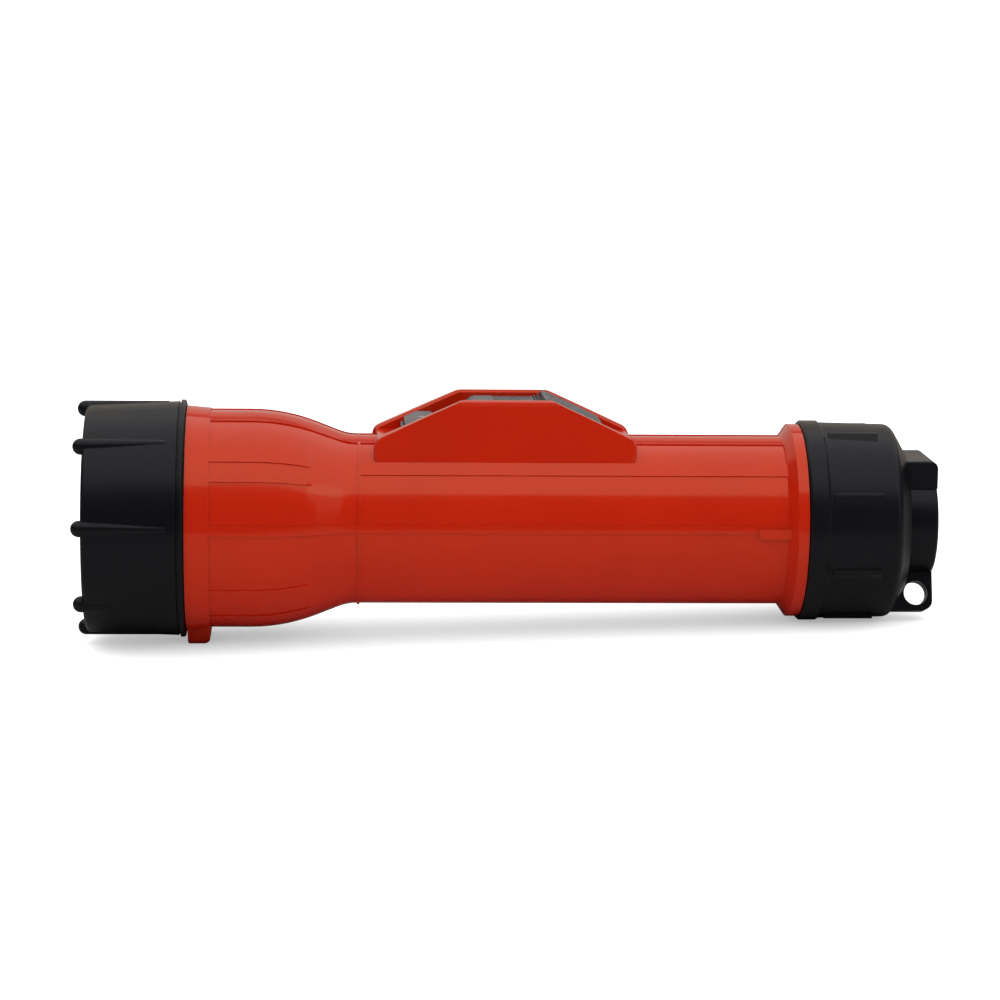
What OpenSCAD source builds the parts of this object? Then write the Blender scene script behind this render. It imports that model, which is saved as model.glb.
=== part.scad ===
// Two-cell safety flashlight with a guarded slide switch, a screwed lens ring and a screwed tail cap.
// The barrel runs along X with the lens ring at -X. The origin is under the middle of the flashlight,
// on the level of the foot. Inside the modules x is counted from the front face of the body flange,
// and y and z from the barrel's axis; placed() moves them into the part's own frame.

/* [Cells] */
// Diameter of one cell over its sleeve
cell_d = 34.2; // [33:0.1:35]
// Length of one cell over its contact tip
cell_len = 61.5; // [58:0.1:66]
// Diameter of the raised contact tip
cell_tip_d = 9.5; // [8:0.1:12]
// Height of the raised contact tip
cell_tip_len = 1.6; // [1:0.1:2.5]
// Thickness of the cell's outer sleeve
sleeve_t = 0.3; // [0.2:0.05:0.5]
// Wall of the steel can
can_t = 0.4; // [0.3:0.05:0.8]
// Thickness of a cell's end plate
plate_t = 0.4; // [0.3:0.05:0.8]
// Radial play of a cell in the barrel
cell_play = 0.5; // [0.3:0.05:1]

/* [Barrel] */
// Wall of the barrel
barrel_wall = 2.7; // [2:0.05:4]
// Front cell's contact tip behind the flange face
cell_front = 30.6; // [28:0.1:45]
// Barrel beyond the rear cell
neck_over = 6.4; // [4:0.1:9]
// Length of the threaded tail neck
tail_neck_len = 13; // [10:0.1:18]
// Radial rise of the tail neck over the barrel
tail_neck_rise = 0.3; // [0.2:0.05:1.5]
// Radial rise of the collar over the barrel
collar_rise = 3; // [2:0.05:4.5]
// Length of the collar's cone
collar_cone = 2.1; // [1.5:0.1:6]
// Length of the collar's straight rim
collar_rim = 2.5; // [0.8:0.1:3]

/* [Head] */
// Radius of the reflector's mouth
mouth_r = 22.4; // [21:0.1:26]
// Width of the rim that carries the lens
rim_w = 2.2; // [1.8:0.1:4]
// Length of the threaded head neck
head_neck_len = 16; // [13:0.1:20]
// Wall of the head neck
head_neck_wall = 1.6; // [1.2:0.1:1.9]
// Radial room for the threads at both ends
thread_room = 1; // [0.8:0.05:1.4]
// Axial length of the flange
flange_len = 5.6; // [4:0.1:8]
// Flange below the lens ring's radius
flange_inset = 1; // [0.8:0.1:2]
// Bell below the flange's radius
bell_inset = 1; // [0.4:0.1:1.5]
// Where the bell starts to narrow
bell_straight = 15.3; // [14:0.1:22]
// Radius of the bell's outer shoulder
shoulder_r = 43; // [20:0.5:50]
// Radius of the curve into the barrel
throat_r = 12; // [8:0.5:24]
// Steepest angle of the bell
bell_angle = 21; // [19:0.5:35]
// Foot below the lens ring
foot_under = 0.8; // [0.5:0.1:3]
// Width of the foot
foot_w = 18; // [12:0.5:24]

/* [Lens ring] */
// Wall of the lens ring over its thread
ring_wall = 2.5; // [2:0.1:4]
// Thickness of the ring's front lip
lip_t = 2.2; // [1.8:0.1:3]
// Reach of the lip over the lens
lip_reach = 2; // [1.5:0.1:3]
// Radial fall of the ring's skin towards the front
ring_draft = 0.7; // [0.3:0.1:1]
// Ribs around the ring
ring_ribs = 8; // [6:1:12]
// Radius of a rib's nose
nose_r = 1.95; // [1.5:0.05:2.2]
// Reach of the noses ahead of the ring
nose_reach = 2.25; // [1.5:0.05:2.6]
// Radius of a rib at its rear end
rib_end_r = 0.9; // [0.5:0.1:1.5]
// Angle where the ring stops when it is tight
ring_stop = -3.8; // [-22:0.1:22]

/* [Lens, reflector and lamp] */
// Thickness of the lens
lens_t = 2.2; // [1.5:0.1:3]
// Thickness of the lens gasket
lens_gasket_t = 1.6; // [1:0.1:2.5]
// Width of the lens gasket
lens_gasket_w = 1.6; // [1:0.1:2]
// Thickness of the reflector's rim
rim_t = 1.8; // [1.2:0.1:3]
// Wall of the reflector
reflector_wall = 1.2; // [0.8:0.1:1.5]
// Focal length of the reflector
focus = 6; // [5.6:0.1:7]
// Radius of the lamp's locating flange
lamp_flange_r = 5.95; // [5.5:0.05:6.5]
// Radius of the lamp's brass barrel
lamp_barrel_r = 4.6; // [4:0.05:5]
// Length of the lamp's brass barrel
lamp_barrel_len = 9.2; // [8:0.1:11]
// Radius of the lamp's glass bulb
bulb_r = 5.4; // [4.5:0.1:5.5]
// Wall of the lamp holder
holder_wall = 2.4; // [1.8:0.1:3]
// Radius of the lamp holder's rear flange
holder_flange_r = 12; // [9:0.1:15]
// Thickness of the lamp holder's rear wall
holder_floor = 2; // [1.5:0.1:3]

/* [Guard and switch] */
// Front of the guard walls
guard_front = 44.3; // [43:0.1:50]
// Length of the guard walls
guard_len = 62.5; // [60:0.1:75]
// Height of the guard walls over the barrel
guard_h = 9.9; // [9.5:0.05:13]
// Length of the guard's front slope
guard_front_slope = 20.9; // [16:0.1:24]
// Length of the guard's level top
guard_top_len = 21.4; // [18:0.1:26]
// Height of the guard's blunt ends over their lower edge
guard_end_h = 5.2; // [4:0.1:7]
// Half width of the channel between the walls
channel_half = 9.3; // [8.9:0.1:11]
// Thickness of a guard wall at its rim
guard_wall = 2.5; // [2:0.1:4]
// Spread of a guard wall from rim to root
guard_spread = 1.5; // [1:0.1:3]
// Radius at the corners of a guard wall's side view
guard_corner = 2.8; // [1:0.1:4]
// Radius along the guard's edges
guard_round = 1.2; // [0.5:0.1:1.6]
// Front of the switch, measured from the front of the guard
switch_in = 7.6; // [5:0.1:9]
// Length of the signal button
button_len = 7; // [6:0.1:8]
// Half width of the signal button
button_half = 7.8; // [6:0.1:8.2]
// Travel of the signal button
button_travel = 0.9; // [0.6:0.1:1]
// Travel of the slider
slide_travel = 6; // [4:0.1:6.5]
// Gap between the button and the slider when off
slide_gap = 7.7; // [7.2:0.1:9]
// Length of the slider's level deck
deck_len = 18.8; // [17:0.1:22]
// Length of the slider's rear ramp
ramp_len = 13.6; // [10:0.1:15]
// Pitch of the fine serrations on the deck
serration_pitch = 0.55; // [0.5:0.05:0.9]
// Depth of the fine serrations
serration_h = 0.3; // [0.15:0.05:0.4]
// Width of one contact strip
strip_w = 2.3; // [1.8:0.1:2.6]
// Thickness of a contact strip
strip_t = 0.4; // [0.3:0.05:0.5]

/* [Tail cap] */
// Working length of the tail spring
spring_len = 15.4; // [12:0.1:20]
// Wire of the tail spring
spring_wire = 1.5; // [1:0.1:2]
// End wall of the tail cap
cap_floor = 2.8; // [2:0.1:4]
// Wall of the tail cap over its thread
cap_wall = 2.35; // [1.5:0.1:3]
// Radial rise of the cap's front bead
bead_rise = 0.45; // [0.3:0.05:1]
// Length of the cap's front bead
bead_len = 4.8; // [3:0.1:7]
// Radial fall of the cap's skin towards its end
cap_draft = 0.35; // [0.2:0.05:0.8]
// Radius of the cap's shoulder
cap_round = 2.4; // [1:0.1:3]
// Length of the cone behind the cap's shoulder
cap_cone = 3.3; // [2.5:0.1:3.6]
// Ledges around the cap
cap_ledges = 8; // [6:1:12]
// Length of one ledge
ledge_len = 11.7; // [8:0.1:13]
// Angle where the cap stops when it is tight
cap_stop = 20.4; // [0:0.1:44]
// Radius of the end boss
boss_r = 13.4; // [11:0.1:15]
// Height of the end boss
boss_len = 7.3; // [6.9:0.1:10]
// Width of the flat pad over the boss
pad_w = 20; // [18:0.5:25]
// Height of the pad's flat face over the axis
pad_top = 15.9; // [14.6:0.1:16.5]
// Angle of the lanyard lug around the axis
lug_angle = 163; // [140:1:180]
// Thickness of the lanyard lug
lug_t = 4.6; // [3.5:0.1:7]
// Radius of the lanyard hole
lanyard_r = 2.9; // [2:0.05:3]
// Lanyard hole's distance from the axis
lanyard_out = 18; // [17.6:0.1:18.4]

/* [Hidden] */

// Clearances
seat_gap = 0.1;
slide_fit = 0.2;
part_gap = 0.3;
shaft_fit = 0.05;
eps = 0.01;

// Body radii
bore_r = cell_d / 2 + cell_play;
barrel_r = bore_r + barrel_wall;
lens_r = mouth_r + rim_w;
neck_r = lens_r;
ring_bore_r = neck_r + thread_room;
ring_r = ring_bore_r + ring_wall;
ring_lip_r = ring_r + 0.4;
flange_r = ring_r - flange_inset;
bell_r = flange_r - bell_inset;
head_bore_r = neck_r - head_neck_wall;
foot_drop = ring_lip_r + foot_under;
collar_r = barrel_r + collar_rise;
tail_neck_r = barrel_r + tail_neck_rise;

// Stations along the axis
cells_end = cell_front + 2 * cell_len;
neck_end = cells_end + neck_over;
collar_end = neck_end - tail_neck_len;
collar_start = collar_end - collar_rim - collar_cone;
cap_front = collar_end + 2 * seat_gap;
cup_t = 0.5;
cap_inside = cells_end + spring_len + cup_t;
cap_end = cap_inside + cap_floor;
tail_end = cap_end + boss_len;
neck_front = -head_neck_len;
rim_front = neck_front - seat_gap - rim_t;
gasket_front = rim_front - lens_gasket_t;
lens_front = gasket_front - lens_t;
ring_front = lens_front - seat_gap - lip_t;
ring_rear = -2 * seat_gap - seat_gap;
nose_front = ring_front - nose_reach;
middle_x = (nose_front + tail_end) / 2;

// Bell: a shoulder arc, a cone and a throat arc between the bell and the barrel
arc_steps = 7;
arc_share = 0.8;
function arc_scale(drop) = min(1, arc_share * drop / ((shoulder_r + throat_r) * (1 - cos(bell_angle))));
bell_drop = bell_r - barrel_r;
bell_reach = (shoulder_r + throat_r) * arc_scale(bell_drop);
cone_drop = bell_drop - bell_reach * (1 - cos(bell_angle));
bell_run = bell_reach * sin(bell_angle) + cone_drop / tan(bell_angle);
bell_end = bell_straight + bell_run;

// Reflector: a paraboloid whose vertex is behind the lamp's flange seat
vertex_x = rim_front + mouth_r * mouth_r / (4 * focus);
lamp_hole_r = bulb_r + part_gap;
lamp_seat = vertex_x + seat_gap;
lamp_flange_t = 0.8;
barrel_back = lamp_seat + lamp_flange_t + lamp_barrel_len;
lamp_tip_len = 1;
lamp_tip_r = 1.6;
lamp_back = barrel_back + lamp_tip_len;
holder_bore_r = lamp_barrel_r + part_gap;
holder_r = holder_bore_r + holder_wall;
holder_front = lamp_seat + lamp_flange_t;
rivet_head_t = 1;
holder_back = cell_front - rivet_head_t - seat_gap;
socket_len = 5;
socket_r = holder_r + shaft_fit;
socket_wall = 1.6;
reflector_steps = 14;

// Switch levels over the axis
pad_rise = 0.3;
pad_z = barrel_r + pad_rise;
boot_t = 0.6;
base_z = pad_z + boot_t;
base_t = 1.2;
deck_base = base_z + base_t;
guard_top = barrel_r + guard_h;
guard_root = channel_half + guard_wall + guard_spread;
guard_lift = 0.3;
guard_low = sqrt(barrel_r * barrel_r - guard_root * guard_root) + guard_lift;
groove_half = strip_w + 0.7;
strip_z = bore_r + seat_gap;
strip_top = strip_z + strip_t;
groove_z = strip_top + 1;
shoe_t = 0.4;
slide_z = deck_base + seat_gap;
wing_t = 1.5;
wing_half = channel_half - 0.9;
rail_half = channel_half - seat_gap;
rail_lip_t = 0.9;
rail_top = slide_z + wing_t + slide_fit + rail_lip_t;
guard_back_slope = guard_len - guard_front_slope - guard_top_len;
guard_back_drop = guard_top - guard_low - guard_end_h;
rail_back = guard_front + guard_front_slope + guard_top_len
    + (guard_top - rail_top - part_gap) * guard_back_slope / guard_back_drop - 1;
wing_back = rail_back - 1;
slider_half = wing_half - 0.8;
deck_half = channel_half - 0.4;
deck_drop = 1.3;
deck_z = guard_top - deck_drop;
ramp_rise = 0.1;
ramp_top = guard_top + ramp_rise;
ramp_low = max(slide_z + 0.6, ramp_top - ramp_len * guard_back_drop / guard_back_slope);

// Switch stations along the axis
button_front = guard_front + switch_in;
button_back = button_front + button_len;
button_x = button_front + 4;
deck_front = button_back + slide_gap;
deck_back = deck_front + deck_len;
slider_back = deck_back + ramp_len;
base_front = button_front - 0.8;
base_back = slider_back + 0.8;
screw_y = 5.8;
screw_r = 1;
screw_head_r = 1.95;
screw_sink = 0.8;
screw_hole = 2.6;
screw_xs = [button_back + 3.4, slider_back - 2.6];
stem_len = 3;
stem_x = deck_back - stem_len;
stem_half = 1.4;
slot_half = stem_half + slide_fit;
slot_front = stem_x - slide_travel - 1;
slot_back = stem_x + stem_len + 1;
head_strip_end = stem_x - slide_travel / 2 - stem_len / 2;
shoe_front = head_strip_end + 1;
shoe_back = stem_x + stem_len + 1;
groove_front = button_x - 4;

// Signal button stack
button_floor_t = 0.5;
button_z = base_z + button_floor_t + slide_fit + button_travel;
button_top = deck_base + 2.75;
button_dish = 0.35;
pin_seat = button_top - button_dish - 0.45;
spring_pocket_r = 2.5;
spring_pocket = 0.9;
pin_r = 0.8;
pin_head_r = 1.3;
disc_t = 0.3;
disc_r = 2.3;
disc_z = strip_top + button_travel + seat_gap;
spring_seat = base_z + button_floor_t / 2;

// Tail cap
cap_bore_r = tail_neck_r + thread_room - 0.2;
cap_r = cap_bore_r + cap_wall;
cap_end_r = cap_r - cap_draft;
bead_r = cap_r + bead_rise;
cup_r = bore_r + 0.4;
cap_inner_r = cup_r + part_gap;
cap_step = neck_end + 2;
spring_big_r = 12;
spring_small_r = 7;

signal_orange = [0.82, 0.24, 0.16];
soft_black = [0.13, 0.13, 0.14];
switch_grey = [0.24, 0.24, 0.26];
rubber_black = [0.08, 0.08, 0.08];
brass = [0.80, 0.62, 0.28];
steel = [0.72, 0.72, 0.74];
silvered = [0.88, 0.89, 0.92];
holder_white = [0.86, 0.85, 0.80];
lens_clear = [0.85, 0.93, 1.0, 0.35];
glass_clear = [0.95, 0.97, 1.0, 0.4];
sleeve_blue = [0.15, 0.28, 0.48];
core_dark = [0.2, 0.19, 0.18];

round_fn = 128;
small_fn = 48;
hull_fn = 24;

// Moves a piece drawn about the axis into the part's frame
module placed() {
    translate([-middle_x, 0, foot_drop]) children();
}

// Turns children drawn about Z, with Z counted as x, onto the barrel's axis
module on_axis() {
    rotate([0, 90, 0]) children();
}

// A solid turned about the barrel's axis from an outline of [x, radius] points
module turned(outline) {
    on_axis() rotate_extrude($fn = round_fn) polygon([for (p = outline) [p[1], p[0]]]);
}

// A straight tube about the axis from x = from to x = to
module tube(from, to, outer, inner) {
    turned([[from, inner], [to, inner], [to, outer], [from, outer]]);
}

// A solid disc about the axis
module disc(from, to, r) {
    translate([from, 0, 0]) on_axis() cylinder(h = to - from, r = r, $fn = round_fn);
}

// Points along an arc around [cx, cr] of radius r, from angle a to angle b
function arc(cx, cr, r, a, b, steps) =
    [for (i = [0:steps]) let (t = a + (b - a) * i / steps) [cx + r * sin(t), cr + r * cos(t)]];

// The bell's outline from a front radius to a barrel radius, over the same stretch of x
function bell_outline(front_r, back_r) =
    let (
        drop = front_r - back_r,
        shoulder = shoulder_r * arc_scale(drop),
        throat = throat_r * arc_scale(drop),
        angle = bell_angle,
        fall = drop - (shoulder + throat) * (1 - cos(angle)),
        end = bell_straight + (shoulder + throat) * sin(angle) + fall / tan(angle)
    )
    concat(
        arc(bell_straight, front_r - shoulder, shoulder, 0, angle, arc_steps),
        arc(end, back_r + throat, throat, 180 + angle, 180, arc_steps)
    );

// A prism from an outline of [x, z] points, centred on the axis plane and w wide
module side_prism(w) {
    rotate([90, 0, 0]) linear_extrude(height = w, center = true) children();
}

// A prism that runs along x from 0, from an outline of [y, z] points
module end_prism(length) {
    rotate([90, 0, 90]) linear_extrude(height = length) children();
}

// Puts children, drawn at the top, at an angle around the axis, towards -Y
module around(angle) {
    rotate([angle, 0, 0]) children();
}

// A box from its two corners
module block(low, high) {
    translate(low) cube(high - low);
}

// A coil spring of round wire about Z, standing on z = 0
module coil(height, r_low, r_high, wire_r, turns, per_turn, sides) {
    count = ceil(turns * per_turn);
    rise = height - 2 * wire_r;
    points = [
        for (i = [0:count])
            let (t = i / count, a = 360 * turns * t, r = r_low + (r_high - r_low) * t)
            for (k = [0:sides - 1])
                let (b = 360 * k / sides, reach = r + wire_r * cos(b))
                [reach * cos(a), reach * sin(a), wire_r + rise * t + wire_r * sin(b)]
    ];
    skin = [
        for (i = [0:count - 1])
            for (k = [0:sides - 1])
                let (j = (k + 1) % sides, low = i * sides, high = (i + 1) * sides)
                [low + k, high + k, high + j, low + j]
    ];
    start = [for (k = [0:sides - 1]) k];
    finish = [for (k = [0:sides - 1]) count * sides + sides - 1 - k];
    polyhedron(points = points, faces = concat(skin, [start], [finish]), convexity = 6);
}

// ---- Lens ring ----

module ring_skin() {
    edge = 1.2;
    groove_x = ring_rear - 1.6;
    groove_w = 0.5;
    front_r = ring_r - ring_draft;
    turned(concat(
        [[ring_rear, ring_bore_r - thread_room], [ring_rear, ring_lip_r - part_gap],
         [ring_rear - part_gap, ring_lip_r], [groove_x + groove_w, ring_lip_r],
         [groove_x + groove_w, ring_r - part_gap], [groove_x, ring_r - part_gap],
         [groove_x, ring_r]],
        arc(ring_front + edge, front_r - edge, edge, 0, -90, arc_steps),
        [[ring_front, ring_bore_r - thread_room]]
    ));
}

// A rib at the top of the ring: a round nose and a cone that sinks into the skin behind it
module ring_rib() {
    top = ring_r + seat_gap;
    nose_x = nose_front + nose_r;
    length = ring_rear - 4 - nose_x;
    tilt = atan((nose_r - rib_end_r) / length);
    nose = arc(0, 0, nose_r, -90, 0, arc_steps);
    translate([nose_x, 0, top - nose_r]) rotate([0, -tilt, 0])
        turned(concat(nose, [[length, rib_end_r], [length, 0]]));
}

module lens_ring() {
    seat_r = lens_r + part_gap;
    thread_front = neck_front - rim_t - seat_gap;
    gasket_seat_r = ring_bore_r + 1;
    gasket_seat_len = 1.8;
    color(soft_black) placed() difference() {
        union() {
            ring_skin();
            for (k = [0:ring_ribs - 1]) around(ring_stop + 360 * k / ring_ribs) ring_rib();
        }
        turned([
            [nose_front - 1, 0], [ring_rear + 1, 0], [ring_rear + 1, gasket_seat_r],
            [ring_rear - gasket_seat_len, gasket_seat_r], [ring_rear - gasket_seat_len, ring_bore_r],
            [thread_front + 2, ring_bore_r], [thread_front + 2 - thread_room, seat_r],
            [lens_front - seat_gap, seat_r], [lens_front - seat_gap, lens_r - lip_reach],
            [ring_front - eps, lens_r - lip_reach + 0.6],
            [nose_front - 1, lens_r - lip_reach + 0.6]
        ]);
    }
}

// ---- Lens, reflector and lamp ----

module lens() {
    edge = 0.4;
    color(lens_clear) placed() turned([
        [lens_front, 0], [gasket_front, 0], [gasket_front, lens_r - edge],
        [gasket_front - edge, lens_r], [lens_front + edge, lens_r], [lens_front, lens_r - edge]
    ]);
}

module lens_gasket() {
    color(rubber_black) placed() tube(gasket_front, rim_front, lens_r, lens_r - lens_gasket_w);
}

// The mirror's radius at a distance in front of the vertex
function mirror_r(depth) = sqrt(4 * focus * depth);

module reflector() {
    hole_depth = lamp_hole_r * lamp_hole_r / (4 * focus);
    full_depth = vertex_x - rim_front;
    web_x = vertex_x - 0.1;
    socket_back = lamp_seat + lamp_flange_t + socket_len;
    outer_socket = socket_r + socket_wall;
    back_depth = vertex_x + reflector_wall - rim_front - rim_t;
    join_depth = outer_socket * outer_socket / (4 * focus);
    mirror = [for (i = [0:reflector_steps])
        let (d = full_depth + (hole_depth - full_depth) * i / reflector_steps)
        [vertex_x - d, mirror_r(d)]];
    back = [for (i = [0:reflector_steps])
        let (d = join_depth + (back_depth - join_depth) * i / reflector_steps)
        [vertex_x + reflector_wall - d, mirror_r(d)]];
    color(silvered) placed() turned(concat(
        mirror,
        [[web_x, lamp_hole_r], [web_x, socket_r], [socket_back, socket_r], [socket_back, outer_socket]],
        back,
        [[rim_front + rim_t, lens_r], [rim_front, lens_r]]
    ));
}

module lamp_bulb() {
    neck = bulb_r - 1.2;
    dome_x = vertex_x - focus - 1;
    color(glass_clear) placed() turned(concat(
        [[dome_x - bulb_r, 0]],
        arc(dome_x, 0, bulb_r, -80, 40, 2 * arc_steps),
        [[dome_x + bulb_r, neck], [lamp_seat, neck], [lamp_seat, 0]]
    ));
}

module lamp_base() {
    color(brass) placed() turned([
        [lamp_seat, 0], [lamp_seat, lamp_flange_r], [lamp_seat + lamp_flange_t, lamp_flange_r],
        [lamp_seat + lamp_flange_t, lamp_barrel_r], [barrel_back, lamp_barrel_r],
        [barrel_back, lamp_tip_r], [lamp_back, lamp_tip_r], [lamp_back, 0]
    ]);
}

module lamp_holder() {
    shoulder = holder_back - holder_floor;
    rivet_hole = pin_head_r + shaft_fit;
    color(holder_white) placed() turned([
        [holder_front, holder_bore_r], [shoulder, holder_bore_r], [shoulder, rivet_hole],
        [holder_back, rivet_hole], [holder_back, holder_flange_r], [shoulder, holder_flange_r],
        [shoulder, holder_r], [holder_front, holder_r]
    ]);
}

module lamp_contact() {
    inner_head = 0.6;
    shoulder = holder_back - holder_floor;
    color(brass) placed() {
        disc(holder_back, holder_back + rivet_head_t, 2.4 * pin_head_r);
        disc(shoulder - inner_head, holder_back + eps, pin_head_r);
        disc(shoulder - inner_head, shoulder, 1.8 * pin_head_r);
    }
}

module lamp_spring() {
    wire_r = 0.35;
    start = lamp_back + seat_gap;
    end = holder_back - holder_floor - 0.6 - seat_gap;
    color(steel) placed() translate([start, 0, 0]) on_axis()
        coil(end - start, holder_bore_r - 1.2, holder_bore_r - 1.2, wire_r, 6.5, 18, 6);
}

// Brass collar on the holder, with a tongue that reaches the head strip
module lamp_ground() {
    ring_x = lamp_seat + lamp_flange_t + socket_len + seat_gap;
    ring_t = 0.8;
    ring_out = holder_r + 2;
    tongue_end = cell_front - 10;
    color(brass) placed() {
        tube(ring_x, ring_x + ring_t, ring_out, holder_r + shaft_fit);
        translate([0, strip_w / 2 + part_gap, 0]) side_prism(strip_w) polygon([
            [ring_x, holder_r + part_gap], [ring_x + ring_t, holder_r + part_gap],
            [ring_x + ring_t, ring_out], [tongue_end, strip_z],
            [tongue_end, strip_top], [ring_x, ring_out + ring_t]
        ]);
    }
}

module head_gasket() {
    thickness = 1.6;
    outer = ring_bore_r + 0.8;
    color(rubber_black) placed() tube(-seat_gap - thickness, -seat_gap, outer, neck_r + shaft_fit);
}

// ---- Body shell ----

// Long raised strips along the bell and the barrel, as [from, to] angles on each side of the top
long_strips = [[8, 19.3], [85, 90]];
// Strips that fade out on the bell and start again behind the ring line
split_strips = [[40.3, 50.4]];
// Short flutes on the bell only
bell_flutes = [[60.4, 61.8], [121, 122.4], [142.4, 143.8]];
strip_rise = 0.28;

module skin_band(angles, points, rise) {
    sunk = 0.6;
    outer = [for (p = points) [p[1] + rise, p[0]]];
    inner = [for (i = [len(points) - 1:-1:0]) [points[i][1] - sunk, points[i][0]]];
    on_axis() rotate([0, 0, 180 + angles[0]])
        rotate_extrude(angle = angles[1] - angles[0], $fn = round_fn) polygon(concat(outer, inner));
}

// A band on both sides of the top
module skin_pair(angles, points) {
    skin_band(angles, points, strip_rise);
    skin_band([-angles[1], -angles[0]], points, strip_rise);
}

module skin_strips() {
    bell = bell_outline(bell_r, barrel_r);
    long = concat([[flange_len - eps, bell_r]], bell, [[collar_start + 1, barrel_r]]);
    short = concat(
        [[flange_len - eps, bell_r]],
        [for (i = [0:arc_steps - 1]) bell[i]],
        [bell[arc_steps] - [0, 2 * strip_rise]]
    );
    rear = [[bell_end, barrel_r], [collar_start + 1, barrel_r]];
    for (a = long_strips) skin_pair(a, long);
    for (a = concat(split_strips, bell_flutes)) skin_pair(a, short);
    for (a = split_strips) skin_pair(a, rear);
}

module shell_outside() {
    flange_draft = 0.5;
    turned(concat(
        [[neck_front, 0], [neck_front, neck_r], [0, neck_r], [0, flange_r],
         [flange_len, flange_r - flange_draft], [flange_len, bell_r]],
        bell_outline(bell_r, barrel_r),
        [[collar_start, barrel_r], [collar_start + collar_cone, collar_r], [collar_end, collar_r],
         [collar_end, tail_neck_r], [neck_end, tail_neck_r], [neck_end, 0]]
    ));
}

module shell_inside() {
    turned(concat(
        [[neck_front - 1, 0], [neck_front - 1, head_bore_r]],
        bell_outline(head_bore_r, bore_r),
        [[neck_end + 1, bore_r], [neck_end + 1, 0]]
    ));
}

// Outline of a guard wall from the side
module guard_outline(inset) {
    front_top = guard_front + guard_front_slope;
    back_top = front_top + guard_top_len;
    back = guard_front + guard_len;
    under = guard_low - 2 * guard_corner;
    intersection() {
        offset(delta = -inset) offset(r = guard_corner, $fn = hull_fn) offset(delta = -guard_corner) polygon([
            [guard_front, under], [guard_front, guard_low + guard_end_h],
            [front_top, guard_top], [back_top, guard_top],
            [back, guard_low + guard_end_h], [back, under]
        ]);
        translate([guard_front, guard_low]) square([guard_len, guard_top - guard_low]);
    }
}

// One guard wall, leaning out towards its root, with its outer edges rounded
module guard_side() {
    rim_out = channel_half + guard_wall;
    thin = 0.02;
    shade = guard_round * 0.3;
    intersection() {
        hull() {
            translate([0, -rim_out - guard_spread, 0]) side_prism(thin) guard_outline(guard_round);
            translate([0, -rim_out - guard_spread + shade, 0]) side_prism(thin) guard_outline(shade);
            translate([0, -rim_out - guard_spread + guard_round, 0]) side_prism(thin) guard_outline(0);
            translate([0, -channel_half - guard_round * 0.5, 0]) side_prism(thin) guard_outline(0);
            translate([0, -channel_half, 0]) side_prism(thin) guard_outline(guard_round * 0.5);
        }
        translate([guard_front - 1, 0, 0]) end_prism(guard_len + 2) polygon([
            [-channel_half + thin, guard_low - 1], [-channel_half + thin, guard_top + 1],
            [-rim_out + guard_round, guard_top + 1], [-rim_out + guard_round, guard_top],
            [-rim_out + shade, guard_top - shade], [-rim_out, guard_top - guard_round],
            [-rim_out - guard_spread, guard_low], [-rim_out - guard_spread, guard_low - 1]
        ]);
    }
}

module foot() {
    heel_r = 1.6;
    top = -bell_r + 3;
    toe_chamfer = 0.5;
    intersection() {
        side_prism(foot_w) union() {
            polygon([
                [0, top], [toe_chamfer / 2, -foot_drop + toe_chamfer], [toe_chamfer, -foot_drop],
                [flange_len - heel_r, -foot_drop], [flange_len - heel_r, -foot_drop + heel_r],
                [flange_len, -foot_drop + heel_r], [flange_len, top]
            ]);
            translate([flange_len - heel_r, -foot_drop + heel_r]) circle(r = heel_r, $fn = small_fn);
        }
        translate([-1, 0, 0]) end_prism(flange_len + 2) polygon([
            [-foot_w / 2, top], [-foot_w / 2 + 1, -foot_drop + 1], [-foot_w / 2 + 2, -foot_drop],
            [foot_w / 2 - 2, -foot_drop], [foot_w / 2 - 1, -foot_drop + 1], [foot_w / 2, top]
        ]);
    }
}

// Keys on the parting line next to the collar
module tail_keys() {
    key_w = 2.2;
    key_len = 7;
    key_rise = 0.8;
    for (s = [-1, 1])
        block([collar_start - key_len, min(s * (barrel_r - 1), s * (barrel_r + key_rise)), -key_w / 2],
              [collar_start + collar_cone, max(s * (barrel_r - 1), s * (barrel_r + key_rise)), key_w / 2]);
}

module body_shell() {
    ring_line_w = 0.6;
    pocket = [3.8, 3, 0.8];
    strip_room = 0.2;
    color(signal_orange) placed() difference() {
        union() {
            shell_outside();
            skin_strips();
            disc(bell_end, bell_end + ring_line_w, barrel_r + 1.3 * strip_rise);
            block([guard_front + 1, -channel_half - 1, 0],
                  [guard_front + guard_len - 1, channel_half + 1, pad_z]);
            guard_side();
            mirror([0, 1, 0]) guard_side();
            foot();
            tail_keys();
        }
        shell_inside();
        // Groove along the top of the bore for the contact strips
        block([groove_front, -groove_half, 0], [neck_end + 1, groove_half, strip_top + strip_room]);
        block([bell_end - 8, part_gap / 2, 0], [groove_front + eps, groove_half, strip_top + strip_room]);
        // Room for the sliding contact and its stem
        block([shoe_front - slide_travel - 1, -groove_half, 0], [shoe_back + 1, groove_half, groove_z]);
        block([slot_front, -slot_half, 0], [slot_back, slot_half, pad_z + 1]);
        // Room for the signal contact and its pin
        translate([button_x, 0, 0]) {
            cylinder(h = disc_z + disc_t + part_gap, r = disc_r + part_gap, $fn = small_fn);
            cylinder(h = pad_z + 1, r = pin_r + part_gap, $fn = small_fn);
        }
        // Threaded holes for the switch screws
        for (x = screw_xs, s = [-1, 1])
            translate([x, s * screw_y, pad_z - screw_hole])
                cylinder(h = 4, r = screw_r + shaft_fit, $fn = small_fn);
        // Two shallow moulding pockets under the barrel
        for (x = [collar_start - pocket[0] - 1, bell_end + ring_line_w])
            translate([x, -pocket[1] / 2, -barrel_r - 1]) cube([pocket[0], pocket[1], pocket[2] + 1]);
    }
}

// ---- Contact strips ----

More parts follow.
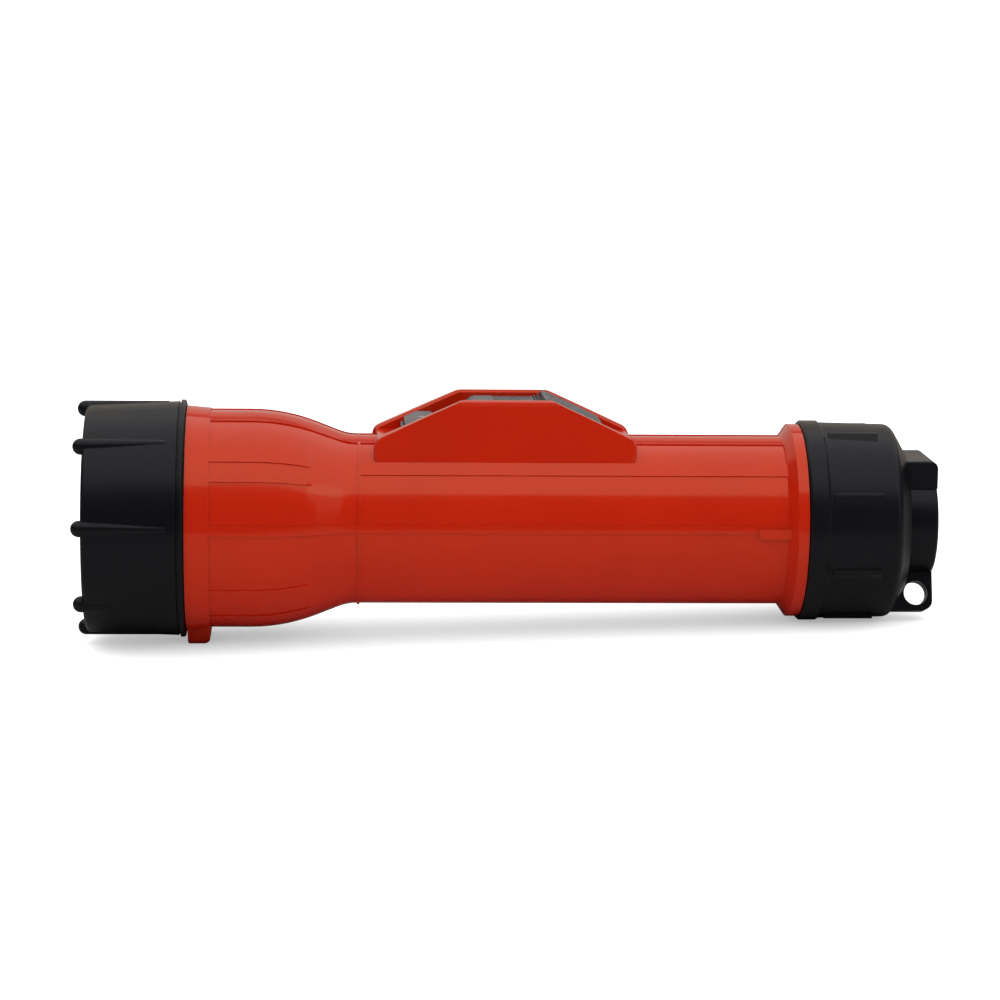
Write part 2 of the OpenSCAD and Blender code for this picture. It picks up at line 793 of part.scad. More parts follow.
module head_strip() {
    start = cell_front - 10 + part_gap;
    color(brass) placed() block([start, part_gap, strip_z], [head_strip_end, part_gap + strip_w, strip_top]);
}

module tail_strip() {
    color(brass) placed() {
        block([groove_front + 1, -part_gap - strip_w, strip_z], [neck_end + 1.2, -part_gap, strip_top]);
    }
}

// ---- Switch ----

module switch_boot() {
    edge = 0.4;
    color(rubber_black) placed() difference() {
        block([base_front + edge, -channel_half + edge, pad_z],
              [base_back - edge, channel_half - edge, base_z]);
        block([slot_front - edge, -slot_half, pad_z - 1], [slot_back + edge, slot_half, base_z + 1]);
        translate([button_x, 0, pad_z - 1]) cylinder(h = boot_t + 2, r = pin_r + part_gap, $fn = small_fn);
        for (x = screw_xs, s = [-1, 1])
            translate([x, s * screw_y, pad_z - 1])
                cylinder(h = boot_t + 2, r = screw_r + part_gap, $fn = small_fn);
    }
}

module rail_pair() {
    rail_front = button_back + 1;
    lip_half = slider_half + slide_fit;
    for (s = [-1, 1]) mirror([0, s < 0 ? 1 : 0, 0]) {
        block([rail_front, wing_half + slide_fit, base_z], [rail_back, rail_half, rail_top]);
        block([rail_front, lip_half, rail_top - rail_lip_t], [rail_back, rail_half, rail_top]);
    }
}

module switch_base() {
    color(switch_grey) placed() difference() {
        union() {
            block([base_front, -rail_half, base_z], [base_back, rail_half, deck_base]);
            rail_pair();
        }
        block([slot_front, -slot_half, base_z - 1], [slot_back, slot_half, deck_base + 1]);
        translate([button_x, 0, base_z - 1]) cylinder(h = base_t + 2, r = pin_r + part_gap, $fn = small_fn);
        translate([button_x, 0, spring_seat]) cylinder(h = base_t, r = spring_pocket_r, $fn = small_fn);
        block([button_front - slide_fit, -button_half - slide_fit, base_z + button_floor_t],
              [button_back + slide_fit, button_half + slide_fit, deck_base + 1]);
        for (x = screw_xs, s = [-1, 1]) translate([x, s * screw_y, 0]) {
            translate([0, 0, base_z - 1]) cylinder(h = base_t + 2, r = screw_r + part_gap, $fn = small_fn);
            translate([0, 0, deck_base - screw_sink])
                cylinder(h = 2, r = screw_head_r + slide_fit, $fn = small_fn);
        }
    }
}

module switch_screws() {
    head_t = 0.7;
    shank_len = 3.4;
    cross = [2.4, 0.5, 0.7];
    color(steel) placed() for (x = screw_xs, s = [-1, 1])
        translate([x, s * screw_y, deck_base - screw_sink]) difference() {
            union() {
                cylinder(h = head_t, r = screw_head_r, $fn = small_fn);
                translate([0, 0, -shank_len]) cylinder(h = shank_len + eps, r = screw_r, $fn = small_fn);
            }
            for (a = [0, 90]) rotate([0, 0, a]) translate([0, 0, head_t]) cube(cross, center = true);
        }
}

// Side outline of the slider: nose, serrated deck, a stepped rise and the ramp
function slider_outline() =
    let (
        nose = 2.6,
        smooth = 6.6,
        rise_len = 2.6,
        teeth_front = deck_front + smooth,
        teeth_back = deck_back - rise_len,
        teeth = floor((teeth_back - teeth_front) / serration_pitch),
        low = deck_z - serration_h,
        steps = 3,
        step_len = rise_len / steps,
        step_h = 0.4
    )
    concat(
        [[slider_back, slide_z], [deck_front + 0.6, slide_z], [deck_front, slide_z + 0.6],
         [deck_front, deck_z - nose]],
        arc(deck_front + nose, deck_z - nose, nose, -90, 0, arc_steps),
        [for (i = [0:teeth - 1]) each [
            [teeth_front + i * serration_pitch, deck_z],
            [teeth_front + (i + 0.5) * serration_pitch, low]
        ]],
        [for (i = [0:steps - 1]) each [
            [teeth_back + i * step_len, deck_z],
            [teeth_back + i * step_len + 0.35, deck_z - step_h],
            [teeth_back + i * step_len + 0.55, deck_z + (i + 1) * (ramp_top - deck_z) / steps - seat_gap]
        ]],
        [[deck_back, ramp_top], [slider_back, ramp_low]]
    );

module switch_slider() {
    color(switch_grey) placed() {
        side_prism(2 * slider_half) polygon(slider_outline());
        intersection() {
            side_prism(2 * deck_half) polygon(slider_outline());
            block([deck_front - 1, -channel_half, rail_top + slide_fit], [slider_back, channel_half, guard_top + 1]);
        }
        block([deck_front + 1, -wing_half, slide_z], [wing_back, wing_half, slide_z + wing_t]);
        block([stem_x, -stem_half, strip_top + shoe_t + seat_gap],
              [stem_x + stem_len, stem_half, slide_z + 1]);
    }
}

module slide_contact() {
    bottom = strip_top + seat_gap;
    shoe_half = strip_w + part_gap - 0.1;
    color(brass) placed() block([shoe_front, -shoe_half, bottom], [shoe_back, shoe_half, bottom + shoe_t]);
}

module signal_button() {
    slope = 2.5;
    rise = 1.4;
    dish_r = 9;
    color(switch_grey) placed() difference() {
        side_prism(2 * button_half) polygon([
            [button_front, button_z], [button_front, button_top - rise],
            [button_front + slope, button_top - 0.15], [button_front + slope + 0.8, button_top],
            [button_back - 0.5, button_top], [button_back, button_top - 0.5], [button_back, button_z]
        ]);
        translate([button_x, 0, button_top - button_dish + dish_r]) rotate([0, 90, 0])
            cylinder(h = 2 * button_len, r = dish_r, center = true, $fn = round_fn);
        translate([button_x, 0, button_z - 1])
            cylinder(h = button_top, r = pin_r + shaft_fit, $fn = small_fn);
        translate([button_x, 0, pin_seat]) cylinder(h = 2, r = pin_head_r + shaft_fit, $fn = small_fn);
        translate([button_x, 0, button_z - 1])
            cylinder(h = 1 + spring_pocket, r = spring_pocket_r, $fn = small_fn);
    }
}

module button_pin() {
    head_t = 0.35;
    dome_r = 2.9;
    foot_z = disc_z + disc_t;
    color(steel) placed() translate([button_x, 0, 0]) {
        translate([0, 0, foot_z]) cylinder(h = pin_seat - foot_z + eps, r = pin_r, $fn = small_fn);
        intersection() {
            translate([0, 0, pin_seat]) cylinder(h = 2 * head_t, r = pin_head_r, $fn = small_fn);
            translate([0, 0, pin_seat + 2 * head_t - dome_r]) sphere(r = dome_r, $fn = round_fn);
        }
    }
}

module button_spring() {
    wire_r = 0.2;
    height = button_z + spring_pocket - spring_seat - 2 * eps;
    color(steel) placed() translate([button_x, 0, spring_seat + eps])
        coil(height, spring_pocket_r - 0.4, pin_r + 0.5, wire_r, 3, 18, 6);
}

module signal_contact() {
    color(brass) placed() translate([button_x, 0, disc_z]) cylinder(h = disc_t, r = disc_r, $fn = small_fn);
}

// ---- Cells ----

cell_r = cell_d / 2;
can_r = cell_r - sleeve_t;
can_front = cell_tip_len;
can_inner_r = can_r - can_t;

// Moves a piece of a cell, drawn from the cell's own front tip, to cell number k
module in_cell(k) {
    placed() translate([cell_front + k * cell_len, 0, 0]) children();
}

module cell_can(k) {
    back = cell_len - plate_t;
    color(steel) in_cell(k) turned([
        [can_front, cell_tip_d / 2 + 1], [can_front, can_r], [back, can_r], [back, can_inner_r],
        [can_front + can_t, can_inner_r], [can_front + can_t, cell_tip_d / 2 + 1]
    ]);
}

module cell_core(k) {
    color(core_dark) in_cell(k) disc(can_front + can_t, cell_len - plate_t, can_inner_r);
}

module cell_sleeve(k) {
    roll = 0.8;
    color(sleeve_blue) in_cell(k) turned([
        [can_front - sleeve_t, can_r - roll], [can_front - sleeve_t, cell_r], [cell_len - plate_t, cell_r],
        [cell_len - plate_t, can_r], [can_front, can_r], [can_front, can_r - roll]
    ]);
}

module cell_tip(k) {
    skirt = 0.9;
    edge = 0.3;
    tip_r = cell_tip_d / 2;
    color(silvered) in_cell(k) turned([
        [0, 0], [can_front + can_t, 0], [can_front + can_t, tip_r + skirt],
        [can_front, tip_r + skirt], [can_front, tip_r], [edge, tip_r], [0, tip_r - edge]
    ]);
}

module cell_base(k) {
    color(silvered) in_cell(k) disc(cell_len - plate_t, cell_len, can_r - 1);
}

module front_cell_can() cell_can(0);
module front_cell_core() cell_core(0);
module front_cell_sleeve() cell_sleeve(0);
module front_cell_tip() cell_tip(0);
module front_cell_base() cell_base(0);
module rear_cell_can() cell_can(1);
module rear_cell_core() cell_core(1);
module rear_cell_sleeve() cell_sleeve(1);
module rear_cell_tip() cell_tip(1);
module rear_cell_base() cell_base(1);

// ---- Tail cap ----

module tail_gasket() {
    thickness = 1.5;
    outer = tail_neck_r + 1.3;
    color(rubber_black) placed() tube(collar_end, collar_end + thickness, outer, tail_neck_r + shaft_fit);
}

module cap_skin() {
    bead_back = cap_front + bead_len;
    edge = 0.5;
    angle = 60;
    shoulder_x = cap_end - cap_cone;
    turned(concat(
        [[cap_front, 0], [cap_front, bead_r - edge], [cap_front + edge, bead_r],
         [bead_back - edge, bead_r], [bead_back, cap_r]],
        arc(shoulder_x - cap_round * tan(angle / 2), cap_end_r - cap_round, cap_round, 0, angle, arc_steps),
        [[cap_end, cap_end_r - cap_cone * tan(angle)], [cap_end, 0]]
    ));
}

// A grip ledge: it rises gently on one side and drops off on the other
module cap_ledge() {
    start = cap_front + bead_len + 1;
    rise = 0.6;
    ramp = 3;
    root = cap_end_r - 1;
    translate([start, 0, 0]) end_prism(ledge_len) polygon([
        [0, root], [0, cap_r + rise * 0.8], [-0.3, cap_r + rise], [-0.9, cap_r + rise],
        [-ramp, sqrt(cap_end_r * cap_end_r - ramp * ramp)], [-ramp, root - 1]
    ]);
}

// A rectangle from low to high with the upper corners named in ends rounded, -1 left and 1 right
module rounded_top(low, high, corner, ends) {
    mid = (low[0] + high[0]) / 2;
    half = (high[0] - low[0]) / 2;
    translate(low) square([2 * half, high[1] - low[1] - corner]);
    for (s = [-1, 1]) {
        rounded = len(search(s, ends)) > 0;
        inset = rounded ? corner : 0;
        translate([s < 0 ? mid - half + inset : mid, low[1]]) square([half - inset, high[1] - low[1]]);
        if (rounded) translate([mid + s * (half - corner), high[1] - corner])
            circle(r = corner, $fn = small_fn);
    }
}

// The flat pad over the boss, rounded along both sides and at its end
module end_pad() {
    low = 9.3;
    corner = 0.6;
    end_corner = 1.8;
    start = cap_end - cap_cone - cap_round;
    intersection() {
        translate([start, 0, 0]) end_prism(tail_end - start)
            rounded_top([-pad_w / 2, low], [pad_w / 2, pad_top], corner, [-1, 1]);
        side_prism(pad_w + 2) rounded_top([start, low - 1], [tail_end, pad_top], end_corner, [1]);
    }
}

// The lanyard lug, drawn at the top
module lug_body() {
    lug_r = cap_end_r - 1.2;
    corner = 2.4;
    start = cap_end - cap_cone - cap_round;
    side_prism(lug_t) rounded_top([start, 0], [tail_end, lug_r], corner, [1]);
}

module tail_cap() {
    lanyard_x = cap_end + lanyard_r + 0.4;
    seat_r = tail_neck_r + 1.4;
    seat_len = 1.6;
    recess_r = boss_r - 4;
    recess_len = boss_len - 2;
    boss_edge = 0.5;
    color(soft_black) placed() difference() {
        union() {
            cap_skin();
            for (k = [0:cap_ledges - 1]) around(cap_stop + 360 * k / cap_ledges) cap_ledge();
            turned([
                [cap_end - 1, 0], [cap_end - 1, boss_r], [tail_end - boss_edge, boss_r],
                [tail_end, boss_r - boss_edge], [tail_end, 0]
            ]);
            end_pad();
            around(lug_angle) lug_body();
        }
        turned([
            [cap_front - 1, 0], [cap_front - 1, seat_r], [cap_front + seat_len, seat_r],
            [cap_front + seat_len, cap_bore_r], [cap_step, cap_bore_r], [cap_step, cap_inner_r],
            [cap_inside, cap_inner_r], [cap_inside, recess_r], [cap_inside + recess_len, recess_r],
            [cap_inside + recess_len, 0]
        ]);
        around(lug_angle) translate([lanyard_x, 0, lanyard_out]) rotate([90, 0, 0])
            cylinder(h = 2 * lug_t, r = lanyard_r, center = true, $fn = small_fn);
    }
}

module contact_cup() {
    skirt_front = neck_end + 1.4;
    color(brass) placed() turned([
        [skirt_front, cup_r - cup_t], [cap_inside - cup_t, cup_r - cup_t], [cap_inside - cup_t, 0],
        [cap_inside, 0], [cap_inside, cup_r], [skirt_front, cup_r]
    ]);
}

module tail_spring() {
    color(steel) placed() translate([cells_end + seat_gap, 0, 0]) on_axis()
        coil(spring_len - 2 * seat_gap, spring_small_r, spring_big_r, spring_wire / 2, 4.5, 24, 8);
}

lens_ring();
lens();
lens_gasket();
reflector();
lamp_bulb();
lamp_base();
lamp_holder();
lamp_spring();
lamp_contact();
lamp_ground();
head_gasket();
body_shell();
head_strip();
tail_strip();
switch_boot();
switch_base();
switch_screws();
switch_slider();
slide_contact();
signal_button();
button_pin();
button_spring();
signal_contact();
front_cell_can();
front_cell_core();
front_cell_sleeve();
front_cell_tip();
front_cell_base();
rear_cell_can();
rear_cell_core();
rear_cell_sleeve();
rear_cell_tip();
rear_cell_base();
tail_gasket();
tail_cap();
tail_spring();
contact_cup();
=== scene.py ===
"""Looks for a two-cell safety flashlight with a guarded slide switch, as a Blender add-on.

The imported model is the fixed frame. Each operator gives a group of its pieces their finish or
adds a detail that the frame leaves plain: the threads, the knurling and the lamp's filament.
"""

import math

import bmesh
import bpy
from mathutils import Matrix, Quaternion, Vector


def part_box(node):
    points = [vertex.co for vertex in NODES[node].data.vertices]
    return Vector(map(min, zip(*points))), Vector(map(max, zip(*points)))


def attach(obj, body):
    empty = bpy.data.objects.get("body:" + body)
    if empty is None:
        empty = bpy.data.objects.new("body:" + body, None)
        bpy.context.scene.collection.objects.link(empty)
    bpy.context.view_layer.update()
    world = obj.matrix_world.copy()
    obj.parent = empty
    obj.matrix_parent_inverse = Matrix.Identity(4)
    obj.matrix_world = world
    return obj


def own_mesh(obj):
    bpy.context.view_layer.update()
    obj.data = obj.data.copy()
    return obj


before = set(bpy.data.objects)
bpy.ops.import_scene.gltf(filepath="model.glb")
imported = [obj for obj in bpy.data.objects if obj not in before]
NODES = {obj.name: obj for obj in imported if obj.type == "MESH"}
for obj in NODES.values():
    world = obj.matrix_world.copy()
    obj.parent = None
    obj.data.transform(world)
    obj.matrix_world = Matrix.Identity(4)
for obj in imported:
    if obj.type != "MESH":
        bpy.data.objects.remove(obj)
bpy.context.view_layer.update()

bl_info = {
    "name": "Guarded Two-Cell Flashlight",
    "version": (1, 0, 0),
    "blender": (4, 5, 0),
    "location": "View3D > Sidebar > Flashlight",
    "description": "Finishes and fine detail for a safety flashlight with a guarded slide switch",
    "category": "Object",
}

MM = 0.001

# Stations that the detail pieces take from the frame
SHELL_LOW, SHELL_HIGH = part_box("body_shell")
SLIDER_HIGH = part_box("switch_slider")[1]
LENS_LOW, LENS_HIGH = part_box("lens")
BULB_LOW, BULB_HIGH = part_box("lamp_bulb")
CAP_LOW, CAP_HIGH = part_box("tail_cap")
GASKET_LOW, GASKET_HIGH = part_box("tail_gasket")
AXIS_Z = (LENS_LOW.z + LENS_HIGH.z) / 2
LENS_R = (LENS_HIGH.z - LENS_LOW.z) / 2

# Finishes that more than one material shares
BLACK_FLOW = (0.0038, 0.0038, 0.0046)
BLACK_TINT = (0.92, 0.93, 1.0)
DUST_COLOUR = (0.5, 0.48, 0.45)
DUST_ROUGHNESS = 0.5

# Threads: turns shown, and where they start and end along the necks
THREAD_TURNS = 2.1
THREAD_SUNK = 0.05 * MM
STEPS_PER_TURN = 72
HEAD_THREAD_START = 3.2 * MM
TAIL_THREAD_END = 0.9 * MM
HEAD_ROOM = 1.0 * MM
TAIL_ROOM = 0.8 * MM
TAIL_GASKET_RISE = 1.3 * MM

# The slider's rear ramp, which is wide at the top and steps in lower down
RAMP_LEN = 13.6 * MM
RAMP_FALL = 6.33 * MM
RAMP_WIDE = 8.6 * MM
RAMP_NARROW = 7.3 * MM
RAMP_WIDE_SHARE = 0.74
RAMP_MARGIN = 0.4 * MM
KNURL_SUNK = 0.03 * MM
KNURL_FOOT = 0.47
KNURL_TIP = 0.25

# The lamp's filament, posts and bead, from the middle of the bulb's globe
FILAMENT_AHEAD = 0.4 * MM
FILAMENT_HALF = 1.6 * MM
COIL_R = 0.28 * MM
COIL_TURNS = 11
COIL_STEPS = 14
WIRE_R = 0.06 * MM
WIRE_SIDES = 6
POST_R = 0.16 * MM
POST_SIDES = 8
POST_SEAT = 0.3 * MM
HOOK_START = 0.25 * MM
HOOK_END = 0.2 * MM
POST_HALF = 1.1 * MM
POST_SPREAD = 1.5 * MM
POST_STRAIGHT = 2 * MM
BEAD_BACK = 3 * MM
BEAD_SIDES = 20
# Places across the bead and its radius at each, in mm
BEAD_OUTLINE = ((-1.9, 0.15), (-1.8, 0.45), (-1.2, 0.65), (0, 0.6),
                (1.2, 0.65), (1.8, 0.45), (1.9, 0.15))

# Stage: the floor's painted shadow, what the gloss sees of the table, and the overhead light
FLOOR_REACH = 2.5
FOOT_BEHIND_RING = 20 * MM
CAP_BEAD = 2.4 * MM
SHADE_REACH = 0.15
SHADE_LEAN = (0.0, -0.42, 0.91)
SHADE_DARK = 0.36
SHADE_LIGHT = 1.75
TABLE_EDGE = (-0.32, -0.28)
PALE_BOUNCE = (0.95, 0.95, 0.95, 1.0)
TABLE_IN_GLOSS = (0.38, 0.38, 0.38, 1.0)
DARK_IN_GLOSS = (0.03, 0.03, 0.03, 1.0)
WHITE = (1.0, 1.0, 1.0, 1.0)
FADE_OUT = (0.45, 1.0)
WHITE_STRENGTH = 1.2
AMBIENT_COLOUR = (0.9, 0.95, 1.0, 1.0)
AMBIENT_STRENGTH = 0.12
OVERHEAD_HEIGHT = 0.95
OVERHEAD_WIDTH = 2.6
OVERHEAD_BACK = 1.0
OVERHEAD_FRONT_ANGLE = math.radians(42)
SENSOR_WIDTH = 36
CLIP_START = 0.01


# ---- Properties ----

class ShellFinish(bpy.types.PropertyGroup):
    """Glossy moulded plastic of the body shell"""
    colour: bpy.props.FloatVectorProperty(
        name="Colour", description="Main colour of the shell", subtype="COLOR",
        size=3, min=0, max=1, default=(0.57, 0.016, 0.002))
    deep_colour: bpy.props.FloatVectorProperty(
        name="Deep Colour", description="Colour where the plastic flowed slowly", subtype="COLOR",
        size=3, min=0, max=1, default=(0.52, 0.0135, 0.002))
    roughness: bpy.props.FloatProperty(
        name="Roughness", description="Roughness of the polished skin", min=0, max=1, default=0.13)
    gloss: bpy.props.FloatProperty(
        name="Gloss", description="Strength of the reflections", min=0, max=1, default=0.54)


class BlackFinish(bpy.types.PropertyGroup):
    """Satin moulded plastic of the lens ring and the tail cap"""
    colour: bpy.props.FloatVectorProperty(
        name="Colour", description="Main colour of the black pieces", subtype="COLOR",
        size=3, min=0, max=1, default=(0.0028, 0.0028, 0.0036))
    worn_colour: bpy.props.FloatVectorProperty(
        name="Worn Colour", description="Colour along rubbed edges", subtype="COLOR",
        size=3, min=0, max=1, default=(0.02, 0.02, 0.022))
    roughness: bpy.props.FloatProperty(
        name="Roughness", description="Roughness of the satin skin", min=0, max=1, default=0.33)
    gloss: bpy.props.FloatProperty(
        name="Gloss", description="Strength of the reflections", min=0, max=1, default=0.25)


class SwitchFinish(bpy.types.PropertyGroup):
    """Textured plastic of the switch and its knurled ramp"""
    colour: bpy.props.FloatVectorProperty(
        name="Colour", description="Main colour of the switch", subtype="COLOR",
        size=3, min=0, max=1, default=(0.165, 0.155, 0.16))
    knurl_pitch: bpy.props.FloatProperty(
        name="Knurl Pitch", description="Distance between the points on the ramp",
        subtype="DISTANCE", unit="LENGTH", min=0.3 * MM, max=2 * MM, default=0.7 * MM)
    knurl_height: bpy.props.FloatProperty(
        name="Knurl Height", description="Height of the points on the ramp",
        subtype="DISTANCE", unit="LENGTH", min=0.05 * MM, max=0.6 * MM, default=0.3 * MM)


class ThreadSizes(bpy.types.PropertyGroup):
    """Screw threads of the lens ring and the tail cap"""
    pitch: bpy.props.FloatProperty(
        name="Pitch", description="Travel of the ring or the cap in one turn",
        subtype="DISTANCE", unit="LENGTH", min=1 * MM, max=6 * MM, default=4 * MM)
    height: bpy.props.FloatProperty(
        name="Height", description="Height of a thread over its neck",
        subtype="DISTANCE", unit="LENGTH", min=0.2 * MM, max=0.9 * MM, default=0.65 * MM)
    root: bpy.props.FloatProperty(
        name="Root Width", description="Width of a thread at its root",
        subtype="DISTANCE", unit="LENGTH", min=0.5 * MM, max=2 * MM, default=1.5 * MM)
    crest: bpy.props.FloatProperty(
        name="Crest Width", description="Width of a thread at its crest",
        subtype="DISTANCE", unit="LENGTH", min=0.2 * MM, max=1.5 * MM, default=0.7 * MM)


class StageSettings(bpy.types.PropertyGroup):
    """Floor, light and camera"""
    distance: bpy.props.FloatProperty(
        name="Camera Distance", description="Distance from the camera to the barrel's axis",
        subtype="DISTANCE", unit="LENGTH", min=0.2, max=3, default=0.796)
    elevation: bpy.props.FloatProperty(
        name="Camera Elevation", description="Height of the camera over the barrel, as an angle",
        subtype="ANGLE", unit="ROTATION", min=-1.5, max=1.5, default=math.radians(9.2))
    yaw: bpy.props.FloatProperty(
        name="Camera Yaw", description="Turn of the camera towards the lens end",
        subtype="ANGLE", unit="ROTATION", min=-1.5, max=1.5, default=math.radians(3.3))
    roll: bpy.props.FloatProperty(
        name="Camera Roll", description="Roll of the camera about its view",
        subtype="ANGLE", unit="ROTATION", min=-1.5, max=1.5, default=math.radians(0.72))
    view_width: bpy.props.FloatProperty(
        name="View Width", description="Width of the view at the barrel's axis",
        subtype="DISTANCE", unit="LENGTH", min=0.05, max=2, default=0.2413)
    aim_x: bpy.props.FloatProperty(
        name="Aim Along", description="Middle of the view along the barrel",
        subtype="DISTANCE", unit="LENGTH", min=-0.1, max=0.1, default=-0.00162)
    aim_up: bpy.props.FloatProperty(
        name="Aim Over Axis", description="Middle of the view over the barrel's axis",
        subtype="DISTANCE", unit="LENGTH", min=-0.1, max=0.1, default=0.00464)
    key_power: bpy.props.FloatProperty(
        name="Key Light", description="Radiance of the overhead softbox", min=0, max=10,
        default=1.02)
    fill_power: bpy.props.FloatProperty(
        name="Front Fill", description="Radiance of the fill light over the camera", min=0, max=10,
        default=1.15)
    side_power: bpy.props.FloatProperty(
        name="Side Light", description="Radiance of the side softbox", min=0, max=10, default=0.5)
    back_power: bpy.props.FloatProperty(
        name="Back Light", description="Radiance of the softbox behind", min=0, max=10,
        default=0.5)


GROUPS = {
    "flashlight_shell": ShellFinish,
    "flashlight_black": BlackFinish,
    "flashlight_switch": SwitchFinish,
    "flashlight_thread": ThreadSizes,
    "flashlight_stage": StageSettings,
}


# ---- Shader node groups ----

def new_group(name, inputs, outputs):
    """An empty shader node group, with its inputs as (name, kind, default)."""
    group = bpy.data.node_groups.new(name, "ShaderNodeTree")
    for socket, kind, default in inputs:
        made = group.interface.new_socket(name=socket, in_out="INPUT", socket_type=kind)
        made.default_value = default
    for socket, kind in outputs:
        group.interface.new_socket(name=socket, in_out="OUTPUT", socket_type=kind)
    return group, group.nodes.new("NodeGroupInput"), group.nodes.new("NodeGroupOutput")


def node(tree, kind, links=(), **values):
    """A shader node. links maps its inputs to values or output sockets."""
    made = tree.nodes.new("ShaderNode" + kind)
    for key, value in values.items():
        setattr(made, key, value)
    for key, value in dict(links).items():
        if isinstance(value, bpy.types.NodeSocket):
            tree.links.new(value, made.inputs[key])
        else:
            made.inputs[key].default_value = value
    return made


def math_node(tree, operation, a, b):
    """The result of a math operation on two values or sockets."""
    return node(tree, "Math", {0: a, 1: b}, operation=operation).outputs[0]


FLOAT, VECTOR = "NodeSocketFloat", "NodeSocketVector"


def moulded_grain():
    """Fine grain of a moulded surface: a height for bump and a slow tone variation."""
    group, given, out = new_group(
        "Moulded Grain",
        [("Fine Scale", FLOAT, 900.0), ("Slow Scale", FLOAT, 40.0), ("Waves", FLOAT, 0.3)],
        [("Height", FLOAT), ("Tone", FLOAT)])
    place = node(group, "TexCoord").outputs["Object"]
    fine = node(group, "TexNoise", {"Vector": place, "Scale": given.outputs["Fine Scale"],
                                    "Detail": 3.0, "Roughness": 0.6})
    slow = node(group, "TexNoise", {"Vector": place, "Scale": given.outputs["Slow Scale"],
                                    "Detail": 2.0, "Roughness": 0.5})
    waves = math_node(group, "MULTIPLY", slow.outputs["Fac"], given.outputs["Waves"])
    group.links.new(math_node(group, "ADD", fine.outputs["Fac"], waves), out.inputs["Height"])
    tone = node(group, "MapRange", {"Value": slow.outputs["Fac"], "From Min": 0.3,
                                    "From Max": 0.7})
    group.links.new(tone.outputs[0], out.inputs["Tone"])
    return group


def edge_mask():
    """A mask along convex and concave edges, broken up by noise, and the softened normal."""
    group, given, out = new_group(
        "Edge Wear",
        [("Radius", FLOAT, 0.0003), ("Break Up", FLOAT, 300.0)],
        [("Mask", FLOAT), ("Normal", VECTOR)])
    soft = node(group, "Bevel", {"Radius": given.outputs["Radius"]}, samples=4)
    flat = node(group, "NewGeometry").outputs["Normal"]
    dot = node(group, "VectorMath", {0: soft.outputs[0], 1: flat}, operation="DOT_PRODUCT")
    edge = node(group, "MapRange", {"Value": dot.outputs["Value"], "From Min": 0.99,
                                    "From Max": 0.8})
    place = node(group, "TexCoord").outputs["Object"]
    noise = node(group, "TexNoise", {"Vector": place, "Scale": given.outputs["Break Up"],
                                     "Detail": 4.0})
    broken = node(group, "MapRange", {"Value": noise.outputs["Fac"], "From Min": 0.4,
                                      "From Max": 0.65})
    group.links.new(math_node(group, "MULTIPLY", edge.outputs[0], broken.outputs[0]),
                    out.inputs["Mask"])
    group.links.new(soft.outputs[0], out.inputs["Normal"])
    return group


def handling_marks():
    """Faint hairlines along the barrel and round smudges from hands, as one roughness mask."""
    group, given, out = new_group(
        "Handling Marks",
        [("Along", FLOAT, 60.0), ("Across", FLOAT, 2500.0), ("Smudge Scale", FLOAT, 55.0)],
        [("Mask", FLOAT)])
    place = node(group, "TexCoord").outputs["Object"]
    stretch = node(group, "CombineXYZ", {0: given.outputs["Along"], 1: given.outputs["Across"],
                                         2: given.outputs["Across"]}).outputs[0]
    drawn = node(group, "VectorMath", {0: place, 1: stretch}, operation="MULTIPLY").outputs[0]
    hair = node(group, "TexNoise", {"Vector": drawn, "Scale": 1.0, "Detail": 2.0})
    hairline = node(group, "MapRange", {"Value": hair.outputs["Fac"], "From Min": 0.66,
                                        "From Max": 0.74})
    smudge = node(group, "TexNoise", {"Vector": place, "Scale": given.outputs["Smudge Scale"],
                                      "Detail": 5.0, "Distortion": 0.6})
    smudged = node(group, "MapRange", {"Value": smudge.outputs["Fac"], "From Min": 0.52,
                                       "From Max": 0.72})
    group.links.new(math_node(group, "MAXIMUM", hairline.outputs[0], smudged.outputs[0]),
                    out.inputs["Mask"])
    return group


def settled_dust():
    """Dust on faces that look up, in specks."""
    group, given, out = new_group(
        "Settled Dust",
        [("Speck Scale", FLOAT, 1500.0), ("Amount", FLOAT, 0.1)],
        [("Mask", FLOAT)])
    coords = node(group, "TexCoord")
    up = node(group, "SeparateXYZ", {0: coords.outputs["Normal"]}).outputs["Z"]
    facing = node(group, "MapRange", {"Value": up, "From Min": 0.3, "From Max": 1.0}).outputs[0]
    speck = node(group, "TexNoise", {"Vector": coords.outputs["Object"],
                                     "Scale": given.outputs["Speck Scale"], "Detail": 2.0})
    specks = node(group, "MapRange", {"Value": speck.outputs["Fac"], "From Min": 0.55,
                                      "From Max": 0.75}).outputs[0]
    amount = math_node(group, "MULTIPLY", specks, given.outputs["Amount"])
    group.links.new(math_node(group, "MULTIPLY", facing, amount), out.inputs["Mask"])
    return group


def brushed_lines():
    """Drawing or turning lines in metal, along one direction: a height and a tone."""
    group, given, out = new_group(
        "Brushed Lines",
        [("X Scale", FLOAT, 200.0), ("Y Scale", FLOAT, 4000.0), ("Z Scale", FLOAT, 4000.0)],
        [("Height", FLOAT), ("Tone", FLOAT)])
    place = node(group, "TexCoord").outputs["Object"]
    stretch = node(group, "CombineXYZ", {0: given.outputs["X Scale"], 1: given.outputs["Y Scale"],
                                         2: given.outputs["Z Scale"]}).outputs[0]
    drawn = node(group, "VectorMath", {0: place, 1: stretch}, operation="MULTIPLY").outputs[0]
    lines = node(group, "TexNoise", {"Vector": drawn, "Scale": 1.0, "Detail": 4.0})
    group.links.new(lines.outputs["Fac"], out.inputs["Height"])
    tone = node(group, "MapRange", {"Value": lines.outputs["Fac"], "From Min": 0.3,
                                    "From Max": 0.7})
    group.links.new(tone.outputs[0], out.inputs["Tone"])
    return group


EFFECTS = {}


